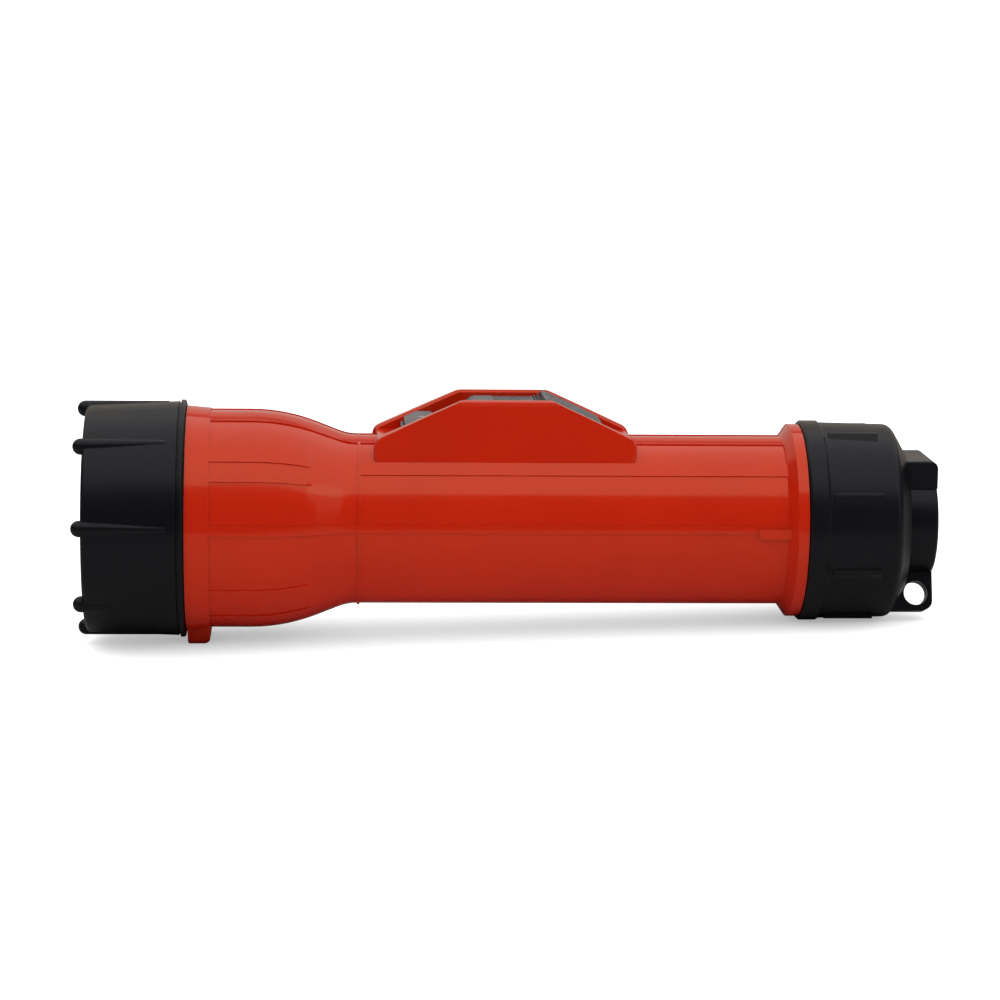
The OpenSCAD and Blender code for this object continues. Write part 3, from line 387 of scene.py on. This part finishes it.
def effect(tree, name, **values):
    """Places a shared effect's node group, built on first use, with its own input values."""
    makers = {"grain": moulded_grain, "edges": edge_mask, "marks": handling_marks,
              "dust": settled_dust, "lines": brushed_lines}
    if name not in EFFECTS:
        EFFECTS[name] = makers[name]()
    placed = tree.nodes.new("ShaderNodeGroup")
    placed.node_tree = EFFECTS[name]
    for key, value in values.items():
        placed.inputs[key.replace("_", " ").title()].default_value = value
    return placed


# ---- Materials ----

MATERIALS = {}


def shader_of(name):
    """A new material with a Principled shader, as (material, node tree, shader)."""
    made = bpy.data.materials.new(name)
    made.use_nodes = True
    return made, made.node_tree, made.node_tree.nodes["Principled BSDF"]


def mix_colour(tree, mask, a, b):
    """A colour between a and b by a mask. Each is a colour or a socket."""
    mixed = tree.nodes.new("ShaderNodeMix")
    mixed.data_type = "RGBA"
    tree.links.new(mask, mixed.inputs["Factor"])
    for key, value in (("A", a), ("B", b)):
        socket = [s for s in mixed.inputs if s.name == key and s.type == "RGBA"][0]
        if isinstance(value, bpy.types.NodeSocket):
            tree.links.new(value, socket)
        else:
            socket.default_value = (*value[:3], 1.0)
    return [s for s in mixed.outputs if s.type == "RGBA"][0]


def span(tree, mask, low, high):
    """A value that runs from low to high as the mask runs from 0 to 1."""
    return node(tree, "MapRange", {"Value": mask, "To Min": low, "To Max": high}).outputs[0]


def bump(tree, height, distance, normal=None):
    """A normal raised by a height, up to a distance, over the softened normal if given."""
    made = node(tree, "Bump", {"Height": height, "Strength": 1.0, "Distance": distance})
    if normal is not None:
        tree.links.new(normal, made.inputs["Normal"])
    return made.outputs["Normal"]


def plastic(name, colour, flow, worn, roughness, gloss, fine_grain, slow_grain, depth,
            edge_radius, wear=0.0, dust=0.0, marks=0.0, sheen=0.0, soft=True,
            tint=(1.0, 1.0, 1.0)):
    """Moulded plastic: flow tone, grain, softened and rubbed edges, handling marks and dust.

    The grains are noise scales, depth is the grain's height and edge_radius is how far an edge is
    softened and rubbed, both in metres.
    """
    made, tree, shader = shader_of(name)
    grain = effect(tree, "grain", fine_scale=fine_grain, slow_scale=slow_grain)
    edges = effect(tree, "edges", radius=edge_radius)
    base = mix_colour(tree, grain.outputs["Tone"], colour, flow)
    rubbed = span(tree, edges.outputs["Mask"], 0.0, wear)
    base = mix_colour(tree, rubbed, base, worn)
    rough = span(tree, grain.outputs["Tone"], roughness * 0.9, roughness * 1.1)
    if marks:
        hand = effect(tree, "marks")
        rough = math_node(tree, "ADD", rough, span(tree, hand.outputs["Mask"], 0.0, marks))
    if dust:
        fallen = effect(tree, "dust", amount=dust)
        base = mix_colour(tree, fallen.outputs["Mask"], base, DUST_COLOUR)
        rough = math_node(tree, "ADD", rough,
                          span(tree, fallen.outputs["Mask"], 0.0, DUST_ROUGHNESS))
    tree.links.new(base, shader.inputs["Base Color"])
    tree.links.new(rough, shader.inputs["Roughness"])
    softened = edges.outputs["Normal"] if soft else None
    tree.links.new(bump(tree, grain.outputs["Height"], depth, softened),
                   shader.inputs["Normal"])
    shader.inputs["Specular IOR Level"].default_value = gloss
    shader.inputs["Specular Tint"].default_value = (*tint, 1.0)
    if sheen:
        shader.inputs["Sheen Weight"].default_value = sheen
    return made


def black_plastic(name, black):
    """Satin black plastic of the lens ring or the tail cap, by the black finish's values."""
    return plastic(name, black.colour, BLACK_FLOW, black.worn_colour, roughness=black.roughness,
                   gloss=black.gloss, fine_grain=1800.0, slow_grain=45.0, depth=0.00001,
                   edge_radius=0.0004, wear=0.5, dust=0.02, marks=0.05, tint=BLACK_TINT)


def metal(name, colour, toned, worn, roughness, lines, depth):
    """Drawn, turned or plated metal with fine lines, tone and dulled edges.

    lines holds the lines' noise scale along each axis, and depth is their height in metres.
    """
    made, tree, shader = shader_of(name)
    drawn = effect(tree, "lines", x_scale=lines[0], y_scale=lines[1], z_scale=lines[2])
    edges = effect(tree, "edges", radius=0.00015)
    base = mix_colour(tree, drawn.outputs["Tone"], colour, toned)
    base = mix_colour(tree, edges.outputs["Mask"], base, worn)
    tree.links.new(base, shader.inputs["Base Color"])
    tree.links.new(span(tree, drawn.outputs["Tone"], roughness * 0.8, roughness * 1.25),
                   shader.inputs["Roughness"])
    tree.links.new(bump(tree, drawn.outputs["Height"], depth, edges.outputs["Normal"]),
                   shader.inputs["Normal"])
    shader.inputs["Metallic"].default_value = 1.0
    return made


def clear(name, colour, roughness, ior, depth):
    """Clear lens or glass with a faint ripple and a few smudges."""
    made, tree, shader = shader_of(name)
    grain = effect(tree, "grain", fine_scale=150.0, slow_scale=60.0)
    hand = effect(tree, "marks", smudge_scale=90.0)
    tree.links.new(span(tree, hand.outputs["Mask"], roughness, roughness + 0.05),
                   shader.inputs["Roughness"])
    tree.links.new(bump(tree, grain.outputs["Height"], depth), shader.inputs["Normal"])
    shader.inputs["Base Color"].default_value = (*colour, 1.0)
    shader.inputs["Transmission Weight"].default_value = 1.0
    shader.inputs["IOR"].default_value = ior
    return made


def banded_sleeve():
    """Printed film of a cell: plain bands round it, with no lettering."""
    made, tree, shader = shader_of("Cell Sleeve Film")
    place = node(tree, "TexCoord").outputs["Generated"]
    along = node(tree, "SeparateXYZ", {0: place}).outputs["X"]
    ramp = node(tree, "ValToRGB", {"Fac": along})
    ramp.color_ramp.interpolation = "CONSTANT"
    bands = [(0.0, (0.45, 0.22, 0.09)), (0.2, (0.6, 0.6, 0.58)), (0.225, (0.012, 0.02, 0.045)),
             (0.9, (0.6, 0.6, 0.58)), (0.925, (0.45, 0.22, 0.09))]
    for start, _ in bands[2:]:
        ramp.color_ramp.elements.new(start)
    for element, (start, colour) in zip(ramp.color_ramp.elements, bands):
        element.position = start
        element.color = (*colour, 1.0)
    grain = effect(tree, "grain", fine_scale=500.0, slow_scale=80.0)
    hand = effect(tree, "marks")
    tree.links.new(ramp.outputs["Color"], shader.inputs["Base Color"])
    tree.links.new(span(tree, hand.outputs["Mask"], 0.22, 0.42), shader.inputs["Roughness"])
    tree.links.new(bump(tree, grain.outputs["Height"], 0.00001), shader.inputs["Normal"])
    return made


def finish_of(slot):
    """The material for a material slot of the record, built on first use."""
    scene = bpy.context.scene
    shell, black, switch = (scene.flashlight_shell, scene.flashlight_black,
                            scene.flashlight_switch)
    makers = {
        "shell_orange": lambda: plastic(
            "Body Orange", shell.colour, shell.deep_colour, (0.75, 0.09, 0.04),
            roughness=shell.roughness, gloss=shell.gloss, fine_grain=350.0, slow_grain=35.0,
            depth=0.000004, edge_radius=0.0003, wear=0.35, dust=0.02, marks=0.04, soft=False,
            tint=(1.0, 0.86, 0.52)),
        "ring_black": lambda: black_plastic("Ring Black", black),
        "cap_black": lambda: black_plastic("Cap Black", black),
        "switch_grey": lambda: plastic(
            "Switch Grey", switch.colour, (0.14, 0.132, 0.136), (0.3, 0.29, 0.29),
            roughness=0.62, gloss=0.4, fine_grain=2600.0, slow_grain=120.0,
            depth=0.00003, edge_radius=0.00015, wear=0.7, dust=0.04),
        "seal_rubber": lambda: plastic(
            "Seal Rubber", (0.012, 0.012, 0.012), (0.018, 0.018, 0.018), (0.03, 0.03, 0.03),
            roughness=0.62, gloss=0.35, fine_grain=1200.0, slow_grain=80.0,
            depth=0.00002, edge_radius=0.0002, wear=0.3, sheen=0.15),
        "holder_white": lambda: plastic(
            "Holder White", (0.72, 0.7, 0.62), (0.66, 0.63, 0.55), (0.8, 0.79, 0.74),
            roughness=0.35, gloss=0.5, fine_grain=900.0, slow_grain=60.0,
            depth=0.00001, edge_radius=0.0002, wear=0.2),
        "cell_core": lambda: plastic(
            "Cell Filling", (0.03, 0.028, 0.027), (0.045, 0.043, 0.04), (0.06, 0.06, 0.06),
            roughness=0.8, gloss=0.3, fine_grain=700.0, slow_grain=150.0,
            depth=0.00006, edge_radius=0.0002),
        "mirror_coat": lambda: metal(
            "Mirror Coat", (0.9, 0.91, 0.93), (0.84, 0.85, 0.88), (0.7, 0.72, 0.75),
            roughness=0.05, lines=(150.0, 150.0, 150.0), depth=0.000003),
        "brass": lambda: metal(
            "Rolled Brass", (0.8, 0.58, 0.25), (0.68, 0.47, 0.19), (0.88, 0.7, 0.38),
            roughness=0.24, lines=(300.0, 5000.0, 5000.0), depth=0.000008),
        "spring_steel": lambda: metal(
            "Spring Wire", (0.62, 0.62, 0.64), (0.5, 0.5, 0.52), (0.5, 0.5, 0.52),
            roughness=0.25, lines=(2500.0, 2500.0, 2500.0), depth=0.000006),
        "screw_steel": lambda: metal(
            "Screw Steel", (0.6, 0.6, 0.62), (0.46, 0.46, 0.48), (0.46, 0.46, 0.48),
            roughness=0.3, lines=(3000.0, 3000.0, 3000.0), depth=0.000008),
        "cell_steel": lambda: metal(
            "Cell Can", (0.66, 0.66, 0.67), (0.55, 0.55, 0.57), (0.55, 0.55, 0.57),
            roughness=0.22, lines=(300.0, 4000.0, 4000.0), depth=0.000006),
        "cell_plate": lambda: metal(
            "Cell Plate", (0.75, 0.75, 0.76), (0.62, 0.62, 0.64), (0.62, 0.62, 0.64),
            roughness=0.18, lines=(2000.0, 2000.0, 2000.0), depth=0.000006),
        "lens_clear": lambda: clear(
            "Lens Clear", (0.97, 0.985, 1.0), roughness=0.015, ior=1.58, depth=0.0000015),
        "lamp_glass": lambda: clear(
            "Lamp Glass", (1.0, 1.0, 1.0), roughness=0.01, ior=1.5, depth=0.000004),
        "cell_sleeve": banded_sleeve,
    }
    if slot not in MATERIALS:
        MATERIALS[slot] = makers[slot]()
    return MATERIALS[slot]


def dress(nodes, slot):
    """Gives CAD nodes the finish of a material slot."""
    for name in nodes:
        mesh = NODES[name].data
        for index in range(len(mesh.materials)):
            mesh.materials[index] = finish_of(slot)
        if not mesh.materials:
            mesh.materials.append(finish_of(slot))


def add_piece(name, mesh, body, slot, smooth=False):
    """A new piece from a bmesh, riding on a body, with the finish of a material slot."""
    bmesh.ops.recalc_face_normals(mesh, faces=mesh.faces)
    data = bpy.data.meshes.new(name)
    mesh.to_mesh(data)
    mesh.free()
    for face in data.polygons:
        face.use_smooth = smooth
    data.materials.append(finish_of(slot))
    made = bpy.data.objects.new(name, data)
    bpy.context.scene.collection.objects.link(made)
    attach(made, body)
    return made


# ---- Detail meshes ----

def sweep(rings):
    """A bmesh from rings of points, each ring joined to the next and the two ends capped."""
    mesh = bmesh.new()
    rows = [[mesh.verts.new(p) for p in ring] for ring in rings]
    for low, high in zip(rows, rows[1:]):
        for k in range(len(low)):
            j = (k + 1) % len(low)
            mesh.faces.new((low[k], high[k], high[j], low[j]))
    mesh.faces.new(rows[0])
    mesh.faces.new(rows[-1][::-1])
    return mesh


def thread_ridge(start, end, root_r, crest_r, sizes, phase=0.0):
    """A right-handed thread round the axis from x = start to x = end, which fades at both ends."""
    turns = (end - start) / sizes.pitch
    count = int(turns * STEPS_PER_TURN)
    fade = STEPS_PER_TURN // 4
    rings = []
    for i in range(count + 1):
        share = min(1.0, (i + 1) / fade, (count + 1 - i) / fade)
        angle = 2 * math.pi * i / STEPS_PER_TURN + phase
        x = start + sizes.pitch * i / STEPS_PER_TURN
        tip = root_r + (crest_r - root_r) * share
        outline = [(-sizes.root / 2, root_r), (-sizes.crest / 2 * share, tip),
                   (sizes.crest / 2 * share, tip), (sizes.root / 2, root_r)]
        rings.append([(x + along, r * math.cos(angle), AXIS_Z + r * math.sin(angle))
                      for along, r in outline])
    return sweep(rings)


def tube_along(points, radius, sides):
    """A round bar along a path of points."""
    path = [Vector(p) for p in points]
    rings = []
    side = None
    for i, place in enumerate(path):
        ahead = (path[min(i + 1, len(path) - 1)] - path[max(i - 1, 0)]).normalized()
        if side is None:
            side = ahead.orthogonal().normalized()
        side = (side - ahead * side.dot(ahead)).normalized()
        other = ahead.cross(side)
        rings.append([place + radius * (side * math.cos(a) + other * math.sin(a))
                      for a in (2 * math.pi * k / sides for k in range(sides))])
    return sweep(rings)


# ---- Operators ----

class FLASHLIGHT_OT_shell(bpy.types.Operator):
    """Gives the body shell its glossy orange-red finish"""
    bl_idname = "flashlight.shell"
    bl_label = "Finish Body Shell"

    def execute(self, context):
        dress(["body_shell"], "shell_orange")
        return {"FINISHED"}


class FLASHLIGHT_OT_black_pieces(bpy.types.Operator):
    """Gives the lens ring and the tail cap their satin black finish"""
    bl_idname = "flashlight.black_pieces"
    bl_label = "Finish Ring and Cap"

    def execute(self, context):
        dress(["lens_ring"], "ring_black")
        dress(["tail_cap"], "cap_black")
        return {"FINISHED"}


class FLASHLIGHT_OT_switch(bpy.types.Operator):
    """Gives the switch its grey finish and its screws, rivet and seal theirs"""
    bl_idname = "flashlight.switch"
    bl_label = "Finish Switch"

    def execute(self, context):
        dress(["switch_base", "switch_slider", "signal_button"], "switch_grey")
        dress(["switch_screws", "button_pin"], "screw_steel")
        dress(["switch_boot"], "seal_rubber")
        dress(["button_spring"], "spring_steel")
        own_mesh(NODES["button_spring"])
        return {"FINISHED"}


class FLASHLIGHT_OT_inner_pieces(bpy.types.Operator):
    """Gives the lens, reflector, lamp, seals, contacts and springs their finishes"""
    bl_idname = "flashlight.inner_pieces"
    bl_label = "Finish Inner Pieces"

    def execute(self, context):
        dress(["lens"], "lens_clear")
        dress(["reflector"], "mirror_coat")
        dress(["lamp_bulb"], "lamp_glass")
        dress(["lamp_holder"], "holder_white")
        dress(["lens_gasket", "head_gasket", "tail_gasket"], "seal_rubber")
        dress(["lamp_base", "lamp_contact", "lamp_ground", "head_strip", "tail_strip",
               "slide_contact", "signal_contact"], "brass")
        dress(["lamp_spring", "tail_spring"], "spring_steel")
        dress(["contact_cup"], "cell_plate")
        return {"FINISHED"}


class FLASHLIGHT_OT_cells(bpy.types.Operator):
    """Gives the two cells their cans, end plates and banded sleeves"""
    bl_idname = "flashlight.cells"
    bl_label = "Finish Cells"

    def execute(self, context):
        for cell in ("front_cell", "rear_cell"):
            dress([cell + "_can"], "cell_steel")
            dress([cell + "_core"], "cell_core")
            dress([cell + "_sleeve"], "cell_sleeve")
            dress([cell + "_tip", cell + "_base"], "cell_plate")
        return {"FINISHED"}


class FLASHLIGHT_OT_threads(bpy.types.Operator):
    """Adds the screw threads on both necks and inside the lens ring and the tail cap"""
    bl_idname = "flashlight.threads"
    bl_label = "Add Threads"

    def execute(self, context):
        sizes = context.scene.flashlight_thread
        tail_neck_r = (GASKET_HIGH.z - GASKET_LOW.z) / 2 - TAIL_GASKET_RISE
        span_x = THREAD_TURNS * sizes.pitch
        head_start = SHELL_LOW.x + HEAD_THREAD_START
        tail_end = SHELL_HIGH.x - TAIL_THREAD_END
        head = (head_start, head_start + span_x, LENS_R, HEAD_ROOM)
        tail = (tail_end - span_x, tail_end, tail_neck_r, TAIL_ROOM)
        for name, (start, end, neck_r, room) in (("head_thread", head), ("tail_thread", tail)):
            ridge = thread_ridge(start, end, neck_r - THREAD_SUNK,
                                 neck_r + room * sizes.height / MM, sizes)
            add_piece(name, ridge, "shell", "shell_orange", smooth=True)
        for name, (start, end, neck_r, room), body, slot in (
            ("ring_thread", head, "ring", "ring_black"),
            ("cap_thread", tail, "cap", "cap_black"),
        ):
            bore_r = neck_r + room
            ridge = thread_ridge(start, end, bore_r + THREAD_SUNK,
                                 bore_r - room * sizes.height / MM, sizes, phase=math.pi)
            add_piece(name, ridge, body, slot, smooth=True)
        return {"FINISHED"}


class FLASHLIGHT_OT_knurling(bpy.types.Operator):
    """Adds the pointed knurling on the slider's rear ramp"""
    bl_idname = "flashlight.knurling"
    bl_label = "Add Ramp Knurling"

    def execute(self, context):
        sizes = context.scene.flashlight_switch
        pitch = sizes.knurl_pitch
        top = Vector((SLIDER_HIGH.x - RAMP_LEN, 0, SLIDER_HIGH.z))
        along = Vector((RAMP_LEN, 0, -RAMP_FALL))
        across = Vector((0, 1, 0))
        up = along.cross(across).normalized()
        rows = int((along.length - 2 * RAMP_MARGIN) / pitch)
        along.normalize()
        reach = pitch * KNURL_FOOT
        corners = ((-1, -1), (1, -1), (1, 1), (-1, 1))
        mesh = bmesh.new()
        for row in range(rows):
            half = RAMP_WIDE if row < RAMP_WIDE_SHARE * rows else RAMP_NARROW
            columns = int(2 * half / pitch)
            for column in range(columns):
                middle = (top + along * (RAMP_MARGIN + (row + 0.5) * pitch)
                          + across * ((column + 0.5 - columns / 2) * pitch))
                feet = [mesh.verts.new(middle + (along * a + across * b) * reach - up * KNURL_SUNK)
                        for a, b in corners]
                tips = [mesh.verts.new(middle + (along * a + across * b) * reach * KNURL_TIP
                                       + up * sizes.knurl_height)
                        for a, b in corners]
                mesh.faces.new(tips)
                mesh.faces.new(feet[::-1])
                for k in range(4):
                    j = (k + 1) % 4
                    mesh.faces.new((feet[k], feet[j], tips[j], tips[k]))
        add_piece("ramp_knurl", mesh, "slider", "switch_grey")
        return {"FINISHED"}


class FLASHLIGHT_OT_filament(bpy.types.Operator):
    """Adds the lamp's filament, its two posts and the glass bead that holds them"""
    bl_idname = "flashlight.filament"
    bl_label = "Add Filament"

    def execute(self, context):
        middle_x = BULB_LOW.x + (BULB_HIGH.z - BULB_LOW.z) / 2 + FILAMENT_AHEAD
        steps = COIL_TURNS * COIL_STEPS
        coil = []
        for i in range(steps + 1):
            t = i / steps
            a = 2 * math.pi * COIL_TURNS * t
            coil.append((middle_x + COIL_R * math.cos(a), FILAMENT_HALF * (2 * t - 1),
                         AXIS_Z + COIL_R * math.sin(a)))
        wire = tube_along(coil, WIRE_R, WIRE_SIDES)
        add_piece("lamp_filament", wire, "head_stack", "spring_steel", smooth=True)
        back = BULB_HIGH.x - POST_SEAT
        for side, name in ((-1, "filament_post_near"), (1, "filament_post_far")):
            path = [(back, side * POST_HALF, AXIS_Z),
                    (back - POST_STRAIGHT, side * POST_HALF, AXIS_Z),
                    (middle_x + POST_STRAIGHT, side * POST_SPREAD, AXIS_Z),
                    (middle_x + HOOK_START, side * FILAMENT_HALF, AXIS_Z),
                    (middle_x - HOOK_END, side * FILAMENT_HALF, AXIS_Z)]
            add_piece(name, tube_along(path, POST_R, POST_SIDES), "head_stack", "spring_steel",
                      smooth=True)
        turn = [2 * math.pi * k / BEAD_SIDES for k in range(BEAD_SIDES)]
        rings = [[(back - BEAD_BACK + r * MM * math.cos(a), y * MM,
                   AXIS_Z + r * MM * math.sin(a)) for a in turn]
                 for y, r in BEAD_OUTLINE]
        add_piece("filament_bead", sweep(rings), "head_stack", "lamp_glass", smooth=True)
        return {"FINISHED"}


def area_light(name, place, aim, width, height, radiance, colour=(1.0, 1.0, 1.0)):
    """A rectangular softbox of a given radiance, seen in reflections but not by the camera."""
    data = bpy.data.lights.new(name, "AREA")
    data.shape = "RECTANGLE"
    data.size, data.size_y = width, height
    data.energy = radiance * math.pi * width * height
    data.color = colour
    made = bpy.data.objects.new(name, data)
    made.location = place
    made.rotation_euler = (Vector(aim) - Vector(place)).to_track_quat("-Z", "Y").to_euler()
    made.visible_camera = False
    bpy.context.scene.collection.objects.link(made)
    return made


class FLASHLIGHT_OT_stage(bpy.types.Operator):
    """Sets up the pale floor, the softboxes, the surroundings and the camera"""
    bl_idname = "flashlight.stage"
    bl_label = "Set Up Stage"

    def floor(self):
        """A pale floor through the foot and the tail cap's bead, which the flashlight rests on."""
        foot = Vector((SHELL_LOW.x + FOOT_BEHIND_RING, 0, SHELL_LOW.z))
        bead_r = CAP_HIGH.z - AXIS_Z
        bead = Vector((CAP_LOW.x + CAP_BEAD, 0, AXIS_Z - bead_r))
        tilt = math.atan2(bead.z - foot.z, bead.x - foot.x)
        mesh = bpy.data.meshes.new("floor")
        corners = [(a * FLOOR_REACH, b * FLOOR_REACH, 0)
                   for a, b in ((-1, -1), (1, -1), (1, 1), (-1, 1))]
        mesh.from_pydata(corners, [], [(0, 1, 2, 3)])
        floor = bpy.data.objects.new("floor", mesh)
        floor.location = foot
        floor.rotation_euler = (0, -tilt, 0)
        bpy.context.scene.collection.objects.link(floor)
        mesh.materials.append(self.floor_finish())

    def floor_finish(self):
        """White to the camera with a painted soft shadow under the flashlight, and a table to its
        gloss.
        """
        made, tree, shader = shader_of("Pale Floor")
        tree.nodes.remove(shader)
        out = tree.nodes["Material Output"]
        path = node(tree, "LightPath")
        place = node(tree, "TexCoord").outputs["Object"]
        # Painted shadow: to the camera the floor glows, dimmed by ambient occlusion near the
        # flashlight, instead of being shaded by the lights
        closed_in = node(tree, "AmbientOcclusion",
                         {"Distance": SHADE_REACH, "Normal": SHADE_LEAN}, samples=16)
        shade = span(tree, closed_in.outputs["AO"], SHADE_DARK, SHADE_LIGHT)
        paper = node(tree, "TexNoise", {"Vector": place, "Scale": 60.0, "Detail": 4.0})
        fibre = span(tree, paper.outputs["Fac"], 0.99, 1.01)
        painted_shadow = node(tree, "Emission", {"Strength": math_node(tree, "MULTIPLY", shade, fibre)})
        # Past the table's front edge the surroundings are dark, as in a studio
        y = node(tree, "SeparateXYZ", {0: place}).outputs["Y"]
        table = node(tree, "MapRange", {"Value": y, "From Min": TABLE_EDGE[0],
                                        "From Max": TABLE_EDGE[1]})
        pale = node(tree, "BsdfDiffuse", {"Color": PALE_BOUNCE})
        table_seen = node(tree, "BsdfDiffuse", {"Color": TABLE_IN_GLOSS})
        dark = node(tree, "BsdfDiffuse", {"Color": DARK_IN_GLOSS})
        mirrored = node(tree, "MixShader", {0: table.outputs[0], 1: dark.outputs[0],
                                            2: table_seen.outputs[0]})
        bounce = node(tree, "MixShader", {0: path.outputs["Is Glossy Ray"], 1: pale.outputs[0],
                                          2: mirrored.outputs[0]})
        both = node(tree, "MixShader", {0: path.outputs["Is Camera Ray"], 1: bounce.outputs[0],
                                        2: painted_shadow.outputs[0]})
        # Far away the floor runs out into plain white
        distance = node(tree, "VectorMath", {0: place}, operation="LENGTH").outputs["Value"]
        far = node(tree, "MapRange", {"Value": distance, "From Min": FADE_OUT[0],
                                      "From Max": FADE_OUT[1]})
        white = node(tree, "Emission", {"Color": WHITE, "Strength": WHITE_STRENGTH})
        far_seen = math_node(tree, "MULTIPLY", far.outputs[0], path.outputs["Is Camera Ray"])
        whole = node(tree, "MixShader", {0: far_seen, 1: both.outputs[0], 2: white.outputs[0]})
        tree.links.new(whole.outputs[0], out.inputs["Surface"])
        return made

    def surroundings(self):
        """Plain white to the camera, and a dim cool light from all round."""
        world = bpy.data.worlds.new("Studio")
        world.use_nodes = True
        tree = world.node_tree
        path = node(tree, "LightPath")
        dim = tree.nodes["Background"]
        dim.inputs["Color"].default_value = AMBIENT_COLOUR
        dim.inputs["Strength"].default_value = AMBIENT_STRENGTH
        white = node(tree, "Background", {"Color": WHITE, "Strength": WHITE_STRENGTH})
        both = node(tree, "MixShader", {0: path.outputs["Is Camera Ray"], 1: dim.outputs[0],
                                        2: white.outputs[0]})
        tree.links.new(both.outputs[0], tree.nodes["World Output"].inputs["Surface"])
        bpy.context.scene.world = world

    def lights(self, stage):
        """An overhead softbox, a fill over the camera, and softboxes at the side and behind."""
        front = -OVERHEAD_HEIGHT / math.tan(OVERHEAD_FRONT_ANGLE)
        middle = (front + OVERHEAD_BACK) / 2
        axis = (0, 0, AXIS_Z)
        area_light("overhead_softbox", place=(0, middle, AXIS_Z + OVERHEAD_HEIGHT),
                   aim=(0, middle, 0), width=OVERHEAD_WIDTH, height=OVERHEAD_BACK - front,
                   radiance=stage.key_power)
        fill = area_light("front_fill", place=(0, -0.62, AXIS_Z + 0.85), aim=axis, width=1.6,
                          height=0.8, radiance=stage.fill_power)
        fill.visible_glossy = False
        area_light("side_softbox", place=(0.95, -0.7, 0.45), aim=axis, width=0.5, height=1.0,
                   radiance=stage.side_power)
        area_light("back_softbox", place=(0, 1.3, 0.5), aim=axis, width=3.0, height=0.9,
                   radiance=stage.back_power, colour=(1.0, 0.85, 0.7))

    def camera(self, scene, stage):
        """A camera that looks at the barrel from its side and a little above."""
        aim = Vector((stage.aim_x, 0, AXIS_Z + stage.aim_up))
        away = Vector((-math.sin(stage.yaw) * math.cos(stage.elevation),
                       -math.cos(stage.yaw) * math.cos(stage.elevation),
                       math.sin(stage.elevation)))
        data = bpy.data.cameras.new("camera")
        data.sensor_width = SENSOR_WIDTH
        data.lens = SENSOR_WIDTH * stage.distance / stage.view_width
        data.clip_start = CLIP_START
        camera = bpy.data.objects.new("camera", data)
        camera.location = aim + away * stage.distance
        turn = (-away).to_track_quat("-Z", "Y") @ Quaternion((0, 0, 1), stage.roll)
        camera.rotation_euler = turn.to_euler()
        scene.collection.objects.link(camera)
        bpy.context.scene.camera = camera

    def execute(self, context):
        context.scene.view_settings.view_transform = "Standard"
        self.floor()
        self.surroundings()
        self.lights(context.scene.flashlight_stage)
        self.camera(context.scene, context.scene.flashlight_stage)
        return {"FINISHED"}


STEPS = (
    FLASHLIGHT_OT_stage,
    FLASHLIGHT_OT_shell,
    FLASHLIGHT_OT_black_pieces,
    FLASHLIGHT_OT_switch,
    FLASHLIGHT_OT_inner_pieces,
    FLASHLIGHT_OT_cells,
    FLASHLIGHT_OT_threads,
    FLASHLIGHT_OT_knurling,
    FLASHLIGHT_OT_filament,
)


class FLASHLIGHT_PT_panel(bpy.types.Panel):
    """Lists the flashlight's sizes, colours and steps"""
    bl_idname = "FLASHLIGHT_PT_panel"
    bl_label = "Flashlight"
    bl_space_type = "VIEW_3D"
    bl_region_type = "UI"
    bl_category = "Flashlight"

    def draw(self, context):
        for name, group in GROUPS.items():
            box = self.layout.box()
            for prop in group.__annotations__:
                box.prop(getattr(context.scene, name), prop)
        for step in STEPS:
            self.layout.operator(step.bl_idname)


CLASSES = (*GROUPS.values(), *STEPS, FLASHLIGHT_PT_panel)


def register():
    """Registers the classes and puts their settings on the scene."""
    for cls in CLASSES:
        bpy.utils.register_class(cls)
    for name, group in GROUPS.items():
        setattr(bpy.types.Scene, name, bpy.props.PointerProperty(type=group))


def unregister():
    """Takes the settings and the classes away again."""
    for name in GROUPS:
        delattr(bpy.types.Scene, name)
    for cls in reversed(CLASSES):
        bpy.utils.unregister_class(cls)


def main():
    """Builds the scene step by step."""
    register()
    for step in STEPS:
        family, name = step.bl_idname.split(".")
        getattr(getattr(bpy.ops, family), name)()


if __name__ == "__main__":
    main()
